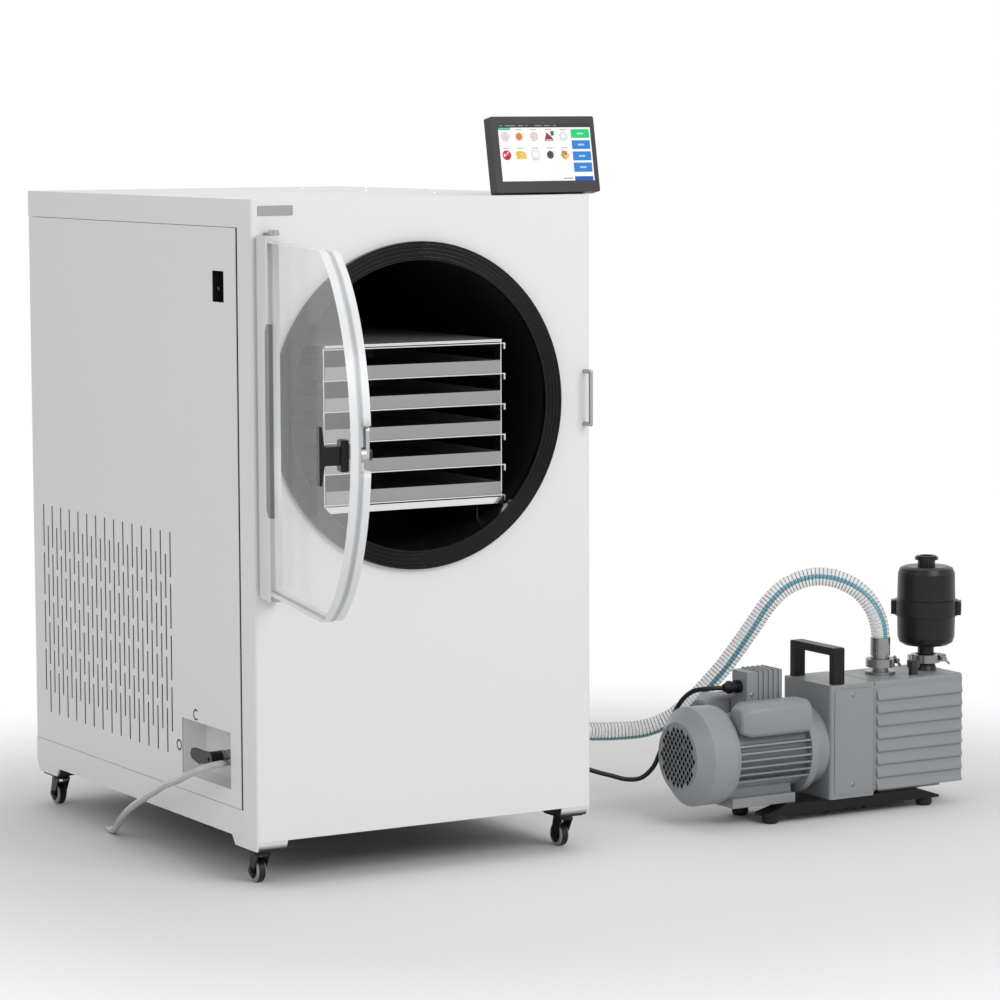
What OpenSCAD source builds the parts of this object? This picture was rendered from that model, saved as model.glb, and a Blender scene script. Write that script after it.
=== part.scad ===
// Cabinet freeze dryer on swivel casters, with its two-stage vacuum pump.
// X runs to the right, Y to the back and Z up. The floor is z = 0.

/* [Cabinet] */
// Width of the cabinet
body_w = 600; // [560:5:720]
// Depth of the cabinet
body_d = 850; // [780:5:1020]
// Height of the cabinet above its skirt
body_h = 984; // [940:2:1200]
// Height of the skirt above the floor
skirt_z = 72; // [70:1:100]
// Thickness of the cabinet sheet
sheet_t = 1.6; // [1.2:0.1:2.5]
// Depth of the front panel's folded sides
front_fold = 48; // [40:1:60]
// Height of the top cover's folded sides and of the skirt
rail_h = 43; // [35:1:55]
// Seam round the side panels, top and bottom
seam = 0.8; // [0.5:0.1:1]
// Finger gap in front of the left side panel
finger_gap = 6; // [3:0.5:10]

/* [Left side panel] */
// Number of tall vent columns
vent_cols = 15; // [6:1:16]
// Distance from one tall column to the next
vent_pitch = 36; // [30:1:40]
// Length of one vent slot
vent_len = 73; // [40:1:80]
// Bridge between two slots of a column
vent_bridge = 10; // [6:1:16]
// Width of a vent slot
vent_w = 5; // [3:0.5:8]
// Drop of the short columns below the tall ones
vent_drop = 36; // [20:1:50]
// Distance of the last vent column from the back
vent_back = 45; // [40:1:80]
// Height of the top of the vents above the floor
vent_top_z = 524; // [430:1:540]

/* [Recesses] */
// Length of the drain valve recess
valve_box_l = 175; // [150:1:200]
// Height of the drain valve recess
valve_box_h = 89; // [80:1:110]
// Depth of the drain valve recess
valve_box_d = 42; // [38:1:60]
// Height of the drain valve's axis above the floor
valve_z = 183; // [175:1:200]
// Length of the drain valve's lever from its axis
lever_len = 62; // [50:1:70]
// Length of the breaker recess
breaker_l = 40; // [36:1:60]
// Height of the breaker recess
breaker_h = 48; // [44:1:70]
// Depth of the breaker recess
breaker_d = 22; // [18:1:30]
// Height of the middle of the breaker recess
breaker_z = 921; // [860:1:940]

/* [Chamber and rack] */
// Inside radius of the vacuum chamber
chamber_r = 228; // [222:1:240]
// Wall of the vacuum chamber
chamber_wall = 4; // [3:0.5:6]
// Length of the chamber's straight wall
chamber_len = 560; // [480:5:600]
// Distance of the chamber's axis from the left side
chamber_x = 286; // [280:1:300]
// Height of the chamber's axis
chamber_z = 733; // [720:1:760]
// Outside radius of the door gasket
gasket_r = 255; // [250:1:262]
// Stand-out of the gasket from the front panel
gasket_out = 9.5; // [8:0.5:11]
// Width of the shelves over their lips
shelf_w = 324; // [280:1:328]
// Depth of the shelves
shelf_d = 440; // [360:5:460]
// Distance from one shelf to the next
shelf_pitch = 48; // [40:0.5:49]
// Number of shelves
shelf_count = 6; // [3:1:6]
// Thickness of a shelf's sheet
shelf_t = 1.6; // [1.2:0.1:2.5]
// Height of a shelf's turned-down lip
lip_h = 10; // [6:0.5:14]
// Set-back of the shelves behind the front panel
rack_y = 8; // [4:1:30]
// Height of a tray's wall
tray_h = 20; // [14:1:26]
// Thickness of a tray's sheet
tray_t = 1.2; // [0.8:0.1:2]

/* [Door] */
// Angle by which the door stands open
door_open = 103.5; // [0:0.5:108]
// Distance of the hinge axis from the left side
hinge_x = 30; // [28:1:34]
// Distance of the hinge axis in front of the panel
hinge_out = 16; // [16:0.5:18]
// Gap between the closed door and the panel
door_gap = 10; // [9.6:0.1:12]
// Thickness of the acrylic door
door_t = 30; // [24:1:32]
// Half of the door's height
door_half = 265; // [262:1:275]
// Radius of the door's round end
door_r = 290; // [284:1:300]
// Radius of the door's corners
door_corner = 45; // [30:1:60]
// Height of the latch's axis
latch_z = 716; // [708:1:740]
// Length of the latch's cam from its axis
cam_len = 41; // [39:1:44]
// Height of the T handle, end to end
tee_len = 82; // [60:1:100]

/* [Display] */
// Width of the display housing
display_w = 190; // [170:1:220]
// Height of the display housing
display_h = 121; // [100:1:150]
// Thickness of the display housing
display_t = 20; // [16:1:28]
// Distance from the left side to the display
display_x = 431; // [380:1:440]
// Lean of the display to the back
display_tilt = 10.5; // [5:0.5:20]

/* [Casters] */
// Distance of a caster's swivel from the cabinet's sides
caster_in = 26; // [25:1:34]
// Distance of a caster's swivel from the front and the back
caster_in_y = 42; // [40:1:60]
// Radius of a caster's wheel
wheel_r = 19; // [16:0.5:20]
// Width of a caster's wheel
wheel_w = 15; // [12:1:18]
// Trail of a wheel's axle behind its swivel
trail = 13; // [10:0.5:15]
// Radial running clearance of the pins and axles
run_gap = 0.05; // [0.03:0.01:0.08]

/* [Vacuum pump] */
// Distance from the left side to the motor's fan cover
motor_x = 817; // [780:1:860]
// Distance of the pump's axis behind the front panel
pump_y = 76; // [70:1:90]
// Height of the motor's axis
motor_z = 118; // [116:1:126]
// Outside radius of the fan cover
cover_r = 83; // [80:1:84]
// Length of the fan cover
cover_len = 65; // [60:1:80]
// Length of the finned motor housing
motor_len = 152; // [140:1:190]
// Number of fins down each side of the motor
fin_count = 6; // [4:1:7]
// Length of the pump block
block_len = 92; // [80:1:110]
// Length of the oil case
case_len = 190; // [160:1:220]
// Width of the pump block and the oil case
pump_w = 140; // [130:1:150]
// Height of the top of the pump
pump_top = 226; // [220:1:240]
// Number of louvres down the side of the oil case
louvre_count = 8; // [5:1:10]
// Stand-out of a louvre
louvre_out = 5; // [3:0.5:7]
// Outside radius of the exhaust filter
filter_r = 50; // [40:1:52]
// Height of the exhaust filter's canister
filter_h = 136; // [110:1:160]
// Height of the carrying handle above the pump
handle_h = 62; // [50:1:80]

/* [Hidden] */
$fn = 64;

// Colours
white = [0.93, 0.93, 0.94];
steel = [0.72, 0.73, 0.74];
dark = [0.13, 0.13, 0.14];
black = [0.05, 0.05, 0.05];
grey = [0.6, 0.62, 0.63];

// Gap left between pieces that touch but can be taken apart
seat = 0.2;
eps = 0.01;

// Cabinet
lid_x = body_w - 162;
lid_y = 225;
lid_w = 150;
lid_d = 492;
screw_h = 1.2;
top_z = skirt_z + body_h;
fold_r = 5;
window_z0 = skirt_z + rail_h;
window_z1 = top_z - rail_h;
left_y0 = front_fold + finger_gap;
right_y0 = front_fold + seam;
deck_z = chamber_z - chamber_r - 50;

// Display: edges of the screen in its housing
screen_left = 12.5;
screen_low = 18;
screen_w = display_w - screen_left - 8;
screen_h = display_h - screen_low - 11.5;

// Hinge, latch and strike
pivot_y = -hinge_out;
v_in = door_gap - hinge_out;
v_out = v_in + door_t;
arc_u = chamber_x - hinge_x;
door_len = arc_u + door_r;
door_z = chamber_z - 5;
bar_half = door_half + 9;
bar_back = 6;
bar_in = 8;
bar_w = 62;
bar_proud = 4;
hinge_pin_r = 3;
tongue_t = 4;
latch_u = door_len - 20;
block_t = 15;
hub_t = 14;
tee_t = 12;
shaft_r = 4;
cam_t = 5;
cam_w = 16;
cam_gap = 1.5;
notch_depth = 15;
notch_down = 22;
notch_up = 41;
layer_in = 1.5;
rod_r = 3.5;
rod_in = cam_gap + cam_t + rod_r;
strike_y = -(door_gap + rod_in);
strike_x = hinge_x + door_len + 13;
strike_half = 42;
strike_mid = latch_z + 17;

// Rack
rack_h = (shelf_count - 1) * shelf_pitch;
rack_z = chamber_z - 28 - rack_h / 2;
post_w = 18;
post_t = 1.6;
post_x = shelf_w / 2 - 5.2;
post_ys = [rack_y + 6, rack_y + shelf_d - post_w - 6];
rack_plate_z = rack_z + rack_h + 4;
runner_x = shelf_w / 2 - 34;

// Recesses
valve_y0 = 90;
valve_y = valve_y0 + 50;
valve_box_z = valve_z - 41;
breaker_y0 = 96;
breaker_pin_x = breaker_d - 2;
breaker_mid = breaker_y0 + breaker_l / 2;
toggle_rest = -10;
stem_r = 5;

// Condenser and compressor
cond_y = body_d / 2 + 140;
cond_l = 400;
cond_h = 300;
cond_z = skirt_z + sheet_t + 38;
cond_fan_z = cond_z + cond_h / 2;
fan_r = 120;

// Caster
swivel_z = 57;
plate_t = 3;
fork_top = 49;
swivel_r = 4;
axle_r = 3;

// Pump
rest_z = 14;
rail_top = 32;
body_x = motor_x + cover_len;
neck_x = body_x + motor_len;
block_x = neck_x + 44;
case_x = block_x + block_len + 2;
case_end = case_x + case_len;
motor_r = 66;
fin_r = 79;
motor_shaft_r = 6;
base_x0 = block_x - 125;
base_x1 = case_end - 50;
inlet_x = case_x + 59;
exhaust_x = case_end - 34;
filter_z = pump_top + 44;
band_out = 4;
clip_out = 6;
clip_turn = -40;
kf_r = 20;
flange_z = pump_top + 20;
adapter_top = pump_top + 63;
port_y = 330;
port_z = 140;
socket_y = 268;
socket_z = 140;

// Overall box, for the origin under its middle
tee_w = 18;
tee_v = v_out + 2 * seat + block_t + hub_t + tee_t;
notch_u = arc_u + sqrt(pow(door_r - layer_in, 2) - pow(latch_z + notch_up - door_z, 2));
far_points = [[notch_u, v_in], [door_len, v_in + notch_depth], [door_len, v_out],
    [latch_u + tee_w / 2, tee_v]];
far_x = min([for (p = far_points) hinge_x + p[0] * cos(door_open) - p[1] * sin(door_open)]);
far_y = min([for (p = far_points) pivot_y - p[0] * sin(door_open) - p[1] * cos(door_open)]);
mid_x = (min(far_x, 0) + exhaust_x + filter_r + band_out) / 2;
mid_y = (far_y + body_d + screw_h + eps) / 2;

// Cord routes, from exit to far end, in cabinet coordinates
hose_r = 16;
hose_ends = [[1, 0, 0], [0, 0, -1]];
hose_route = [[632, 330, 140], [676, 330, 139], [720, 328, 135], [764, 325, 132], [808, 319, 128],
    [850, 307, 127], [890, 289, 131], [926, 269, 147], [956, 251, 174], [982, 235, 206],
    [1007, 221, 239], [1030, 208, 275], [1051, 195, 311], [1073, 182, 348], [1101, 167, 377],
    [1137, 145, 392], [1173, 121, 388], [1204, 98, 367], [1224, 82, 332], [1231, 76, 289]];
cable_r = 4;
cable_ends = [[-1, 0, 0], [-1, 0, 0]];
cable_route = [[908, 76, 228], [883, 82, 228], [867, 102, 223], [863, 124, 210], [863, 144, 193],
    [865, 162, 174], [865, 177, 152], [863, 188, 129], [858, 195, 104], [848, 200, 80],
    [829, 207, 63], [806, 217, 61], [782, 228, 68], [759, 237, 75], [736, 245, 84], [713, 252, 96],
    [692, 258, 111], [671, 263, 126], [648, 267, 137], [622, 268, 140]];
drain_r = 5.5;
drain_ends = [[-1, 0, 0], [0, 1, 0]];
drain_route = [[-8, 100, 182], [-37, 106, 177], [-55, 126, 165], [-56, 153, 154], [-54, 182, 145],
    [-53, 211, 136], [-51, 239, 126], [-48, 267, 115], [-46, 295, 105], [-42, 323, 94],
    [-38, 351, 84], [-34, 379, 73], [-30, 406, 62], [-25, 433, 50], [-20, 460, 37], [-15, 486, 22],
    [-10, 512, 9], [-7, 542, 6]];

// ---- Shapes that repeat ----

// Box with rounded vertical edges
module round_box(size, r) {
    linear_extrude(size[2]) round_rect([size[0], size[1]], r);
}

// Rectangle with rounded corners, from its lower left corner
module round_rect(size, r) {
    translate([r, 0]) square([size[0] - 2 * r, size[1]]);
    translate([0, r]) square([size[0], size[1] - 2 * r]);
    for (x = [r, size[0] - r], y = [r, size[1] - r]) translate([x, y]) circle(r);
}

// Slot with round ends, upright, centred on its lower end
module slot(len, w) {
    translate([-w / 2, w / 2]) square([w, len - w]);
    translate([0, w / 2]) circle(w / 2, $fn = 16);
    translate([0, len - w / 2]) circle(w / 2, $fn = 16);
}

// Profile in (radius, distance) turned about an axis that points to the back
module turned_y() { rotate([-90, 0, 0]) rotate_extrude($fn = 128) children(); }

// Profile in (radius, distance) turned about an axis that points to the right
module turned_x() { rotate([0, 90, 0]) rotate_extrude($fn = 96) children(); }

// Flat shape in (y, z) raised to the right
module raised_x(len) { rotate([90, 0, 90]) linear_extrude(len) children(); }

// Flat shape in (x, z) raised to the front
module raised_front(len) { rotate([90, 0, 0]) linear_extrude(len) children(); }

// Cylinder along X from the child's place
module rod_x(r, len) { rotate([0, 90, 0]) cylinder(r = r, h = len); }

// Cylinder along Y from the child's place
module rod_y(r, len) { rotate([-90, 0, 0]) cylinder(r = r, h = len); }

// Everything that swings with the door, drawn closed about the hinge axis
module door_place() { translate([hinge_x, pivot_y, 0]) rotate([0, 0, -door_open]) children(); }

// Round cross-section swept along a route that leaves and arrives along the two end directions
function unit(v) = v / norm(v);
function route_dir(p, ends, i) = i == 0 ? ends[0] : i == len(p) - 1 ? ends[1] : unit(p[i + 1] - p[i - 1]);
function side_of(d) = unit(cross(d, abs(d[2]) > 0.9 ? [0, 1, 0] : [0, 0, 1]));
function carry(d, s) = unit(s - d * (s * d));
function frames(p, ends, i = 0, s = undef) =
    let (d = route_dir(p, ends, i), n = is_undef(s) ? side_of(d) : carry(d, s))
    i == len(p) - 1 ? [[d, n]] : concat([[d, n]], frames(p, ends, i + 1, n));
module swept(p, ends, r, sides) {
    f = frames(p, ends);
    rings = [for (i = [0:len(p) - 1], k = [0:sides - 1]) let (a = 360 * k / sides)
        p[i] + r * (cos(a) * f[i][1] + sin(a) * cross(f[i][0], f[i][1]))];
    n = len(p);
    walls = [for (i = [0:n - 2], k = [0:sides - 1]) let (a = i * sides, b = (k + 1) % sides)
        each [[a + k, a + sides + k, a + b], [a + b, a + sides + k, a + sides + b]]];
    first = [for (k = [1:sides - 2]) [0, k, k + 1]];
    last = [for (k = [1:sides - 2]) [(n - 1) * sides, (n - 1) * sides + k + 1, (n - 1) * sides + k]];
    polyhedron(rings, concat(walls, first, last));
}

// ---- Cabinet ----

module front_panel() color(white) difference() {
    translate([0, 0, skirt_z]) round_box([body_w, front_fold + 2 * fold_r, body_h], fold_r);
    translate([sheet_t, sheet_t, skirt_z - 1])
        round_box([body_w - 2 * sheet_t, body_d, body_h + 2], fold_r - sheet_t);
    translate([-1, front_fold, skirt_z - 1]) cube([body_w + 2, body_d, body_h + 2]);
    translate([chamber_x, -1, chamber_z]) rod_y(chamber_r + chamber_wall + 8, 10);
}

module vent_columns() {
    for (i = [0:vent_cols - 1], k = [0:3])
        translate([body_d - vent_back - i * vent_pitch,
            vent_top_z - vent_len - k * (vent_len + vent_bridge)])
            slot(vent_len, vent_w);
    for (i = [0:vent_cols - 2], k = [0:3])
        translate([body_d - vent_back - (i + 0.5) * vent_pitch,
            vent_top_z - vent_drop - vent_len - k * (vent_len + vent_bridge)])
            slot(vent_len, vent_w);
}

// Sheet that closes a side window, with its edges folded in
module side_sheet(y0) {
    fold = 12;
    z0 = window_z0 + seam;
    h = window_z1 - window_z0 - 2 * seam;
    len = body_d - y0 - sheet_t - seam;
    raised_x(sheet_t) difference() {
        translate([y0, z0]) square([len, h]);
        children();
    }
    for (z = [z0, z0 + h - sheet_t]) translate([sheet_t - eps, y0, z]) cube([fold, len, sheet_t]);
    for (y = [y0, y0 + len - sheet_t]) translate([sheet_t - eps, y, z0]) cube([fold, sheet_t, h]);
}

module left_panel() color(white) side_sheet(left_y0) {
    vent_columns();
    translate([valve_y0, valve_box_z]) square([valve_box_l, valve_box_h]);
    translate([breaker_y0, breaker_z - breaker_h / 2]) square([breaker_l, breaker_h]);
}

module right_panel() color(white) translate([body_w, 0, 0]) mirror([1, 0, 0]) side_sheet(right_y0) {
    vent_columns();
    translate([port_y, port_z]) circle(15);
    translate([socket_y, socket_z]) circle(13);
}

module rear_panel() color(white) difference() {
    translate([sheet_t + seam, body_d - sheet_t, window_z0 + seam])
        cube([body_w - 2 * (sheet_t + seam), sheet_t, window_z1 - window_z0 - 2 * seam]);
    translate([0, body_d + 1, 0]) raised_front(2 * sheet_t + 1)
        for (x = [130:40:body_w - 130], z = [0:2]) translate([x, window_z1 - 240 - z * 90]) slot(70, 8);
}

module top_cover() color(white) {
    difference() {
        translate([0, front_fold + seat, window_z1]) cube([body_w, body_d - front_fold - seat, rail_h]);
        translate([sheet_t, 0, window_z1 - 1])
            cube([body_w - 2 * sheet_t, body_d - sheet_t, rail_h - sheet_t + 1]);
        translate([lid_x, lid_y, window_z1]) cube([lid_w, lid_d, rail_h + 1]);
    }
    translate([sheet_t + seat, sheet_t + seat, top_z - sheet_t])
        round_box([body_w - 2 * (sheet_t + seat), front_fold, sheet_t], fold_r - sheet_t);
}

// Hatch over the service bay, let into the top
module service_lid() color(white) {
    translate([lid_x + seam / 2, lid_y + seam / 2, top_z - sheet_t])
        cube([lid_w - seam, lid_d - seam, sheet_t]);
    for (y = [lid_y - 8, lid_y + lid_d - 8])
        translate([lid_x + 20, y, top_z - 2 * sheet_t - seat]) cube([lid_w - 40, 16, sheet_t]);
}

module screw_head(r) { cylinder(r1 = r, r2 = r * 0.7, h = screw_h, $fn = 24); }

module panel_screws() color(steel) {
    for (x = [lid_x + 12, lid_x + lid_w - 12], y = [lid_y + 12, lid_y + lid_d / 2, lid_y + lid_d - 12])
        translate([x, y, top_z + eps]) screw_head(4);
    for (x = [20, body_w - 20], z = [window_z0 + 30, (window_z0 + window_z1) / 2, window_z1 - 30])
        translate([x, body_d + eps, z]) rotate([-90, 0, 0]) screw_head(4);
}

// Corner foot with sloping sides, under the skirt
module corner_foot() {
    translate([0, 0, swivel_z]) raised_x(52)
        polygon([[6, 0], [78, 0], [90, skirt_z - swivel_z], [0, skirt_z - swivel_z]]);
}

module base_pan() color(white) {
    difference() {
        translate([0, front_fold + seat, skirt_z]) cube([body_w, body_d - front_fold - seat, rail_h]);
        translate([sheet_t, 0, skirt_z + sheet_t])
            cube([body_w - 2 * sheet_t, body_d - sheet_t, rail_h]);
    }
    translate([sheet_t + seat, sheet_t + seat, skirt_z])
        round_box([body_w - 2 * (sheet_t + seat), front_fold, sheet_t], fold_r - sheet_t);
    for (mx = [0, 1], my = [0, 1]) translate([mx * body_w, my * body_d, 0])
        mirror([mx, 0, 0]) mirror([0, my, 0]) translate([1, 1, 0]) corner_foot();
}

// Deck that carries the chamber, on four angle legs
module mid_deck() color(steel) {
    y0 = front_fold + 16;
    l = body_w - 28;
    d = body_d - front_fold - 32;
    difference() {
        translate([14, y0, deck_z]) cube([l, d, 20]);
        translate([14 + sheet_t, y0 + sheet_t, deck_z - 1])
            cube([l - 2 * sheet_t, d - 2 * sheet_t, 21 - sheet_t]);
    }
    for (mx = [0, 1], my = [0, 1])
        translate([14 + mx * l, y0 + my * d, skirt_z + sheet_t]) mirror([mx, 0, 0]) mirror([0, my, 0])
            linear_extrude(deck_z - skirt_z) {
                square([24, sheet_t]);
                square([sheet_t, 24]);
            }
}

// Open box folded from sheet, its mouth on the left side
module open_box(y0, z0, l, h, d) {
    translate([sheet_t, 0, 0]) difference() {
        translate([0, y0 - sheet_t, z0 - sheet_t]) cube([d, l + 2 * sheet_t, h + 2 * sheet_t]);
        translate([-1, y0, z0]) cube([d + 1 - sheet_t, l, h]);
    }
}

module recess_boxes() color(white) {
    difference() {
        open_box(valve_y0, valve_box_z, valve_box_l, valve_box_h, valve_box_d);
        translate([0, valve_y, valve_z]) rod_x(13.3, valve_box_d + 10);
        translate([0, drain_route[0][1], drain_route[0][2]]) rod_x(8, valve_box_d + 10);
    }
    difference() {
        open_box(breaker_y0, breaker_z - breaker_h / 2, breaker_l, breaker_h, breaker_d);
        translate([breaker_d - 5, breaker_y0 + 8, breaker_z - 18]) cube([10, breaker_l - 16, 36]);
    }
}

module breaker() color(black) difference() {
    union() {
        translate([breaker_d - 3, breaker_mid - 11.8, breaker_z - 17.8]) cube([60, 23.6, 35.6]);
        translate([breaker_d - 5.8, breaker_mid - 18, breaker_z - 22]) cube([5, 36, 44]);
    }
    translate([breaker_d - 8, breaker_mid - 4.5, breaker_z - 11]) cube([16, 9, 22]);
    translate([breaker_pin_x, breaker_mid - 8, breaker_z]) rod_y(2 + run_gap, 16);
}

module breaker_toggle() color(dark) translate([breaker_pin_x, breaker_mid, breaker_z]) {
    translate([0, -4, 0]) rod_y(4.5, 8);
    translate([0, 3, 0]) rotate([0, toggle_rest, 0]) raised_front(6)
        polygon([[0, -2.2], [-14, -2.2], [-16, -3.6], [-19, -2.4], [-19, 2.4], [-16, 3.6], [-14, 2.2], [0, 2.2]]);
    translate([0, -7.5, 0]) rod_y(2, 15);
}

// Ball valve behind the recess, its stem and nipple through the back of it
module drain_valve() color(steel) {
    body_front = sheet_t + valve_box_d + seat;
    translate([0, valve_y, valve_z]) {
        difference() {
            union() {
                translate([6, 0, 0]) rod_x(12.6, 8);
                translate([14, 0, 0]) rod_x(9.5, 6);
                translate([20, 0, 0]) rod_x(12.6, body_front - 20);
                translate([body_front, 0, 0]) rod_x(24, 42);
            }
            translate([5, 0, 0]) rod_x(stem_r + run_gap, 30);
        }
    }
    translate([body_front + 21, drain_route[0][1] + 4, valve_z]) sphere(15);
    translate([body_front + 21, drain_route[0][1] + 4, valve_z]) rod_y(15, 40);
    translate([-8, drain_route[0][1], drain_route[0][2]]) rod_x(4, body_front + 30);
    translate([2, drain_route[0][1], drain_route[0][2]]) rod_x(7, body_front);
    translate([body_front + 21, valve_y, valve_z]) rod_y(11, 70);
    translate([body_front + 21, valve_y + 70, valve_z]) sphere(11);
    translate([body_front + 21, valve_y + 70, valve_z]) cylinder(r = 11, h = deck_z - valve_z - 1);
}

module valve_lever() color(black) translate([0, valve_y, valve_z]) {
    difference() {
        union() {
            translate([-14, 0, 0]) rod_x(12, 19.7);
            translate([-14, 0, 0]) raised_x(9) {
                translate([0, -9]) square([lever_len * 0.4, 18]);
                polygon([[lever_len * 0.35, -9], [lever_len * 0.55, -13], [lever_len, -7],
                    [lever_len + 5, 0], [lever_len, 9], [lever_len * 0.5, 8], [lever_len * 0.35, 9]]);
            }
        }
        translate([-15, 0, 0]) rod_x(3.2, 3);
    }
    translate([5, 0, 0]) rod_x(stem_r, 28);
}

// ---- Chamber ----

module chamber() color(black) translate([chamber_x, 0, chamber_z]) {
    r = chamber_r;
    w = chamber_wall;
    dish = 60;
    turned_y() {
        translate([r, -4]) square([w, chamber_len + 4]);
        translate([r, sheet_t + seat]) square([28, 6]);
        difference() {
            intersection() {
                translate([0, chamber_len + dish - (r * r + dish * dish) / (2 * dish)])
                    circle((r * r + dish * dish) / (2 * dish) + w);
                translate([0, chamber_len - eps]) square([r + w, dish + w + 1]);
            }
            translate([0, chamber_len + dish - (r * r + dish * dish) / (2 * dish)])
                circle((r * r + dish * dish) / (2 * dish));
        }
    }
    saddle_r = r + w - 1;
    for (y = [110, chamber_len - 70]) difference() {
        translate([-150, y, deck_z + 20 - chamber_z + seat]) cube([300, 5, 130]);
        translate([0, y - 1, 0]) rod_y(saddle_r, 7);
    }
}

module door_gasket() color(dark) translate([chamber_x, 0, chamber_z]) turned_y() {
    r0 = chamber_r - 2;
    difference() {
        translate([r0, -gasket_out]) square([gasket_r - r0, gasket_out - seat]);
        translate([chamber_r - seat, -4 - seat]) square([chamber_wall + 2 * seat, 6]);
        for (k = [0:3]) translate([r0 + 5 + k * 6.4, -gasket_out]) circle(1.8, $fn = 24);
    }
}

// ---- Rack, shelves and trays ----

module rack_frame() color(steel) translate([chamber_x, 0, 0]) {
    half = shelf_w / 2 - 3;
    bottom = rack_z - lip_h - 4;
    for (m = [0, 1]) mirror([m, 0, 0]) {
        for (y = post_ys) translate([post_x, y, bottom]) cube([post_t, post_w, rack_plate_z - bottom]);
        runner_drop = chamber_z - sqrt(pow(chamber_r - 0.3, 2) - pow(runner_x, 2));
        translate([runner_x - 2, rack_y + 30, runner_drop])
            cube([2, shelf_d - 60, bottom - runner_drop + 1]);
    }
    translate([-half + 2, rack_y + 2, rack_plate_z]) cube([2 * half - 4, shelf_d - 4, 1.6]);
    translate([-half + 2, rack_y + 3, rack_plate_z - 2.6]) cube([2 * half - 4, 1.2, 2.7]);
    for (y = [rack_y + 4, rack_y + shelf_d - 40]) difference() {
        translate([-half + 2, y, bottom]) cube([2 * half - 4, 34, 10]);
        translate([-half + 4, y + 1.6, bottom + 1.6]) cube([2 * half - 8, 40, 10]);
    }
}

module shelves() color(steel) translate([chamber_x, rack_y, rack_z])
    for (i = [0:shelf_count - 1]) translate([0, 0, i * shelf_pitch]) {
        difference() {
            translate([-shelf_w / 2, 0, -shelf_t]) cube([shelf_w, shelf_d, shelf_t]);
            for (m = [0, 1], y = post_ys) mirror([m, 0, 0])
                translate([post_x - seat, y - rack_y - seat, -shelf_t - 1])
                    cube([post_t + 2 * seat, post_w + 2 * seat, shelf_t + 2]);
        }
        for (m = [0, 1]) mirror([m, 0, 0]) translate([shelf_w / 2 - shelf_t, 0, -lip_h])
            cube([shelf_t, shelf_d, lip_h - eps]);
    }

module trays() color(grey) translate([chamber_x, rack_y + 5, rack_z + seat])
    for (i = [0:shelf_count - 2]) translate([0, 0, i * shelf_pitch]) difference() {
        tray_w = shelf_w - 12;
        translate([-tray_w / 2, 0, 0]) cube([tray_w, shelf_d - 20, tray_h]);
        translate([-tray_w / 2 + tray_t, tray_t, tray_t])
            cube([tray_w - 2 * tray_t, shelf_d - 20 - 2 * tray_t, tray_h]);
    }

// ---- Door and latch ----

module door_outline(grow) {
    half = door_half + grow;
    r = door_r + grow;
    c = door_corner;
    fillet_u = arc_u + sqrt(pow(r - c, 2) - pow(half - c, 2));
    a = atan2(half - c, fillet_u - arc_u);
    translate([0, -half]) square([fillet_u, 2 * half]);
    for (s = [-1, 1]) translate([fillet_u, s * (half - c)]) circle(c);
    intersection() {
        translate([arc_u, 0]) circle(r, $fn = 128);
        polygon([[arc_u, 0], [arc_u + 3 * r * cos(a), 3 * r * sin(a)],
            [arc_u + 3 * r * cos(a), -3 * r * sin(a)]]);
    }
}

module door_plate() color([0.8, 0.83, 0.85, 0.4]) door_place() difference() {
    translate([0, 0, door_z]) {
        translate([0, -v_in - notch_depth, 0]) raised_front(door_t - notch_depth) door_outline(0);
        translate([0, -v_in, 0]) raised_front(notch_depth + eps) door_outline(-layer_in);
    }
    translate([latch_u - 24, -v_in - notch_depth, latch_z - notch_down])
        cube([60, notch_depth + 1, notch_down + notch_up]);
    translate([latch_u, -v_out - 1, latch_z]) rod_y(shaft_r + 1, door_t + 2);
    translate([-1, -v_out - 1, 0]) cube([bar_in + 1 + seat, door_t + 2, 2 * top_z]);
}

// Rounded hinge bar that clips over the straight edge of the door
module door_bar() color([0.75, 0.76, 0.77]) door_place() difference() {
    translate([0, 0, door_z - bar_half]) linear_extrude(2 * bar_half) {
        circle(bar_back);
        translate([-bar_back, -v_out + 6]) square([2 * bar_back, v_out - 6]);
        translate([0, -v_out]) square([bar_in, door_t]);
        intersection() {
            translate([10 - bar_back, -v_out + 10 - bar_proud]) circle(10);
            translate([-bar_back, -v_out - bar_proud]) square([10, 12]);
        }
        translate([10 - bar_back, -v_out - bar_proud]) square([bar_w + bar_back - 14, bar_proud - seat]);
        translate([10 - bar_back, -v_out - bar_proud]) square([bar_in + bar_back - 10, 8]);
        translate([bar_w - 4, -v_out - seat]) intersection() {
            circle(bar_proud - seat);
            translate([-6, -6]) square([12, 6]);
        }
    }
    for (s = [-1, 1]) translate([0, 0, door_z + s * bar_half - 22])
        cylinder(r = hinge_pin_r + run_gap, h = 44);
}

module door_clamp() color(dark) door_place() {
    len = 290;
    translate([bar_w + 1, -v_out - seat, door_z]) raised_front(6)
        polygon([[0, -len / 2 + 12], [12, -len / 2], [26, -len / 2], [26, len / 2], [12, len / 2],
            [0, len / 2 - 12]]);
}

module latch_block() color(black) door_place() translate([latch_u, -v_out - seat, latch_z])
    difference() {
        translate([-20, 0, -22]) raised_front(block_t) round_rect([40, 44], 4);
        translate([0, -block_t - 1, 0]) rod_y(shaft_r + run_gap, block_t + 2);
    }

module latch_handle() color(black) door_place()
    translate([latch_u, -v_out - 2 * seat - block_t, latch_z]) {
        difference() {
            union() {
                raised_front(hub_t + 1) round_rect_mid([16, 27], 4);
                translate([0, -hub_t, 0]) raised_front(tee_t) intersection() {
                    round_rect_mid([tee_w, tee_len], 8);
                    circle(tee_len / 2);
                }
            }
            translate([0, -hub_t - 2, 0]) rod_y(shaft_r, hub_t + 4);
        }
    }

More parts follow.
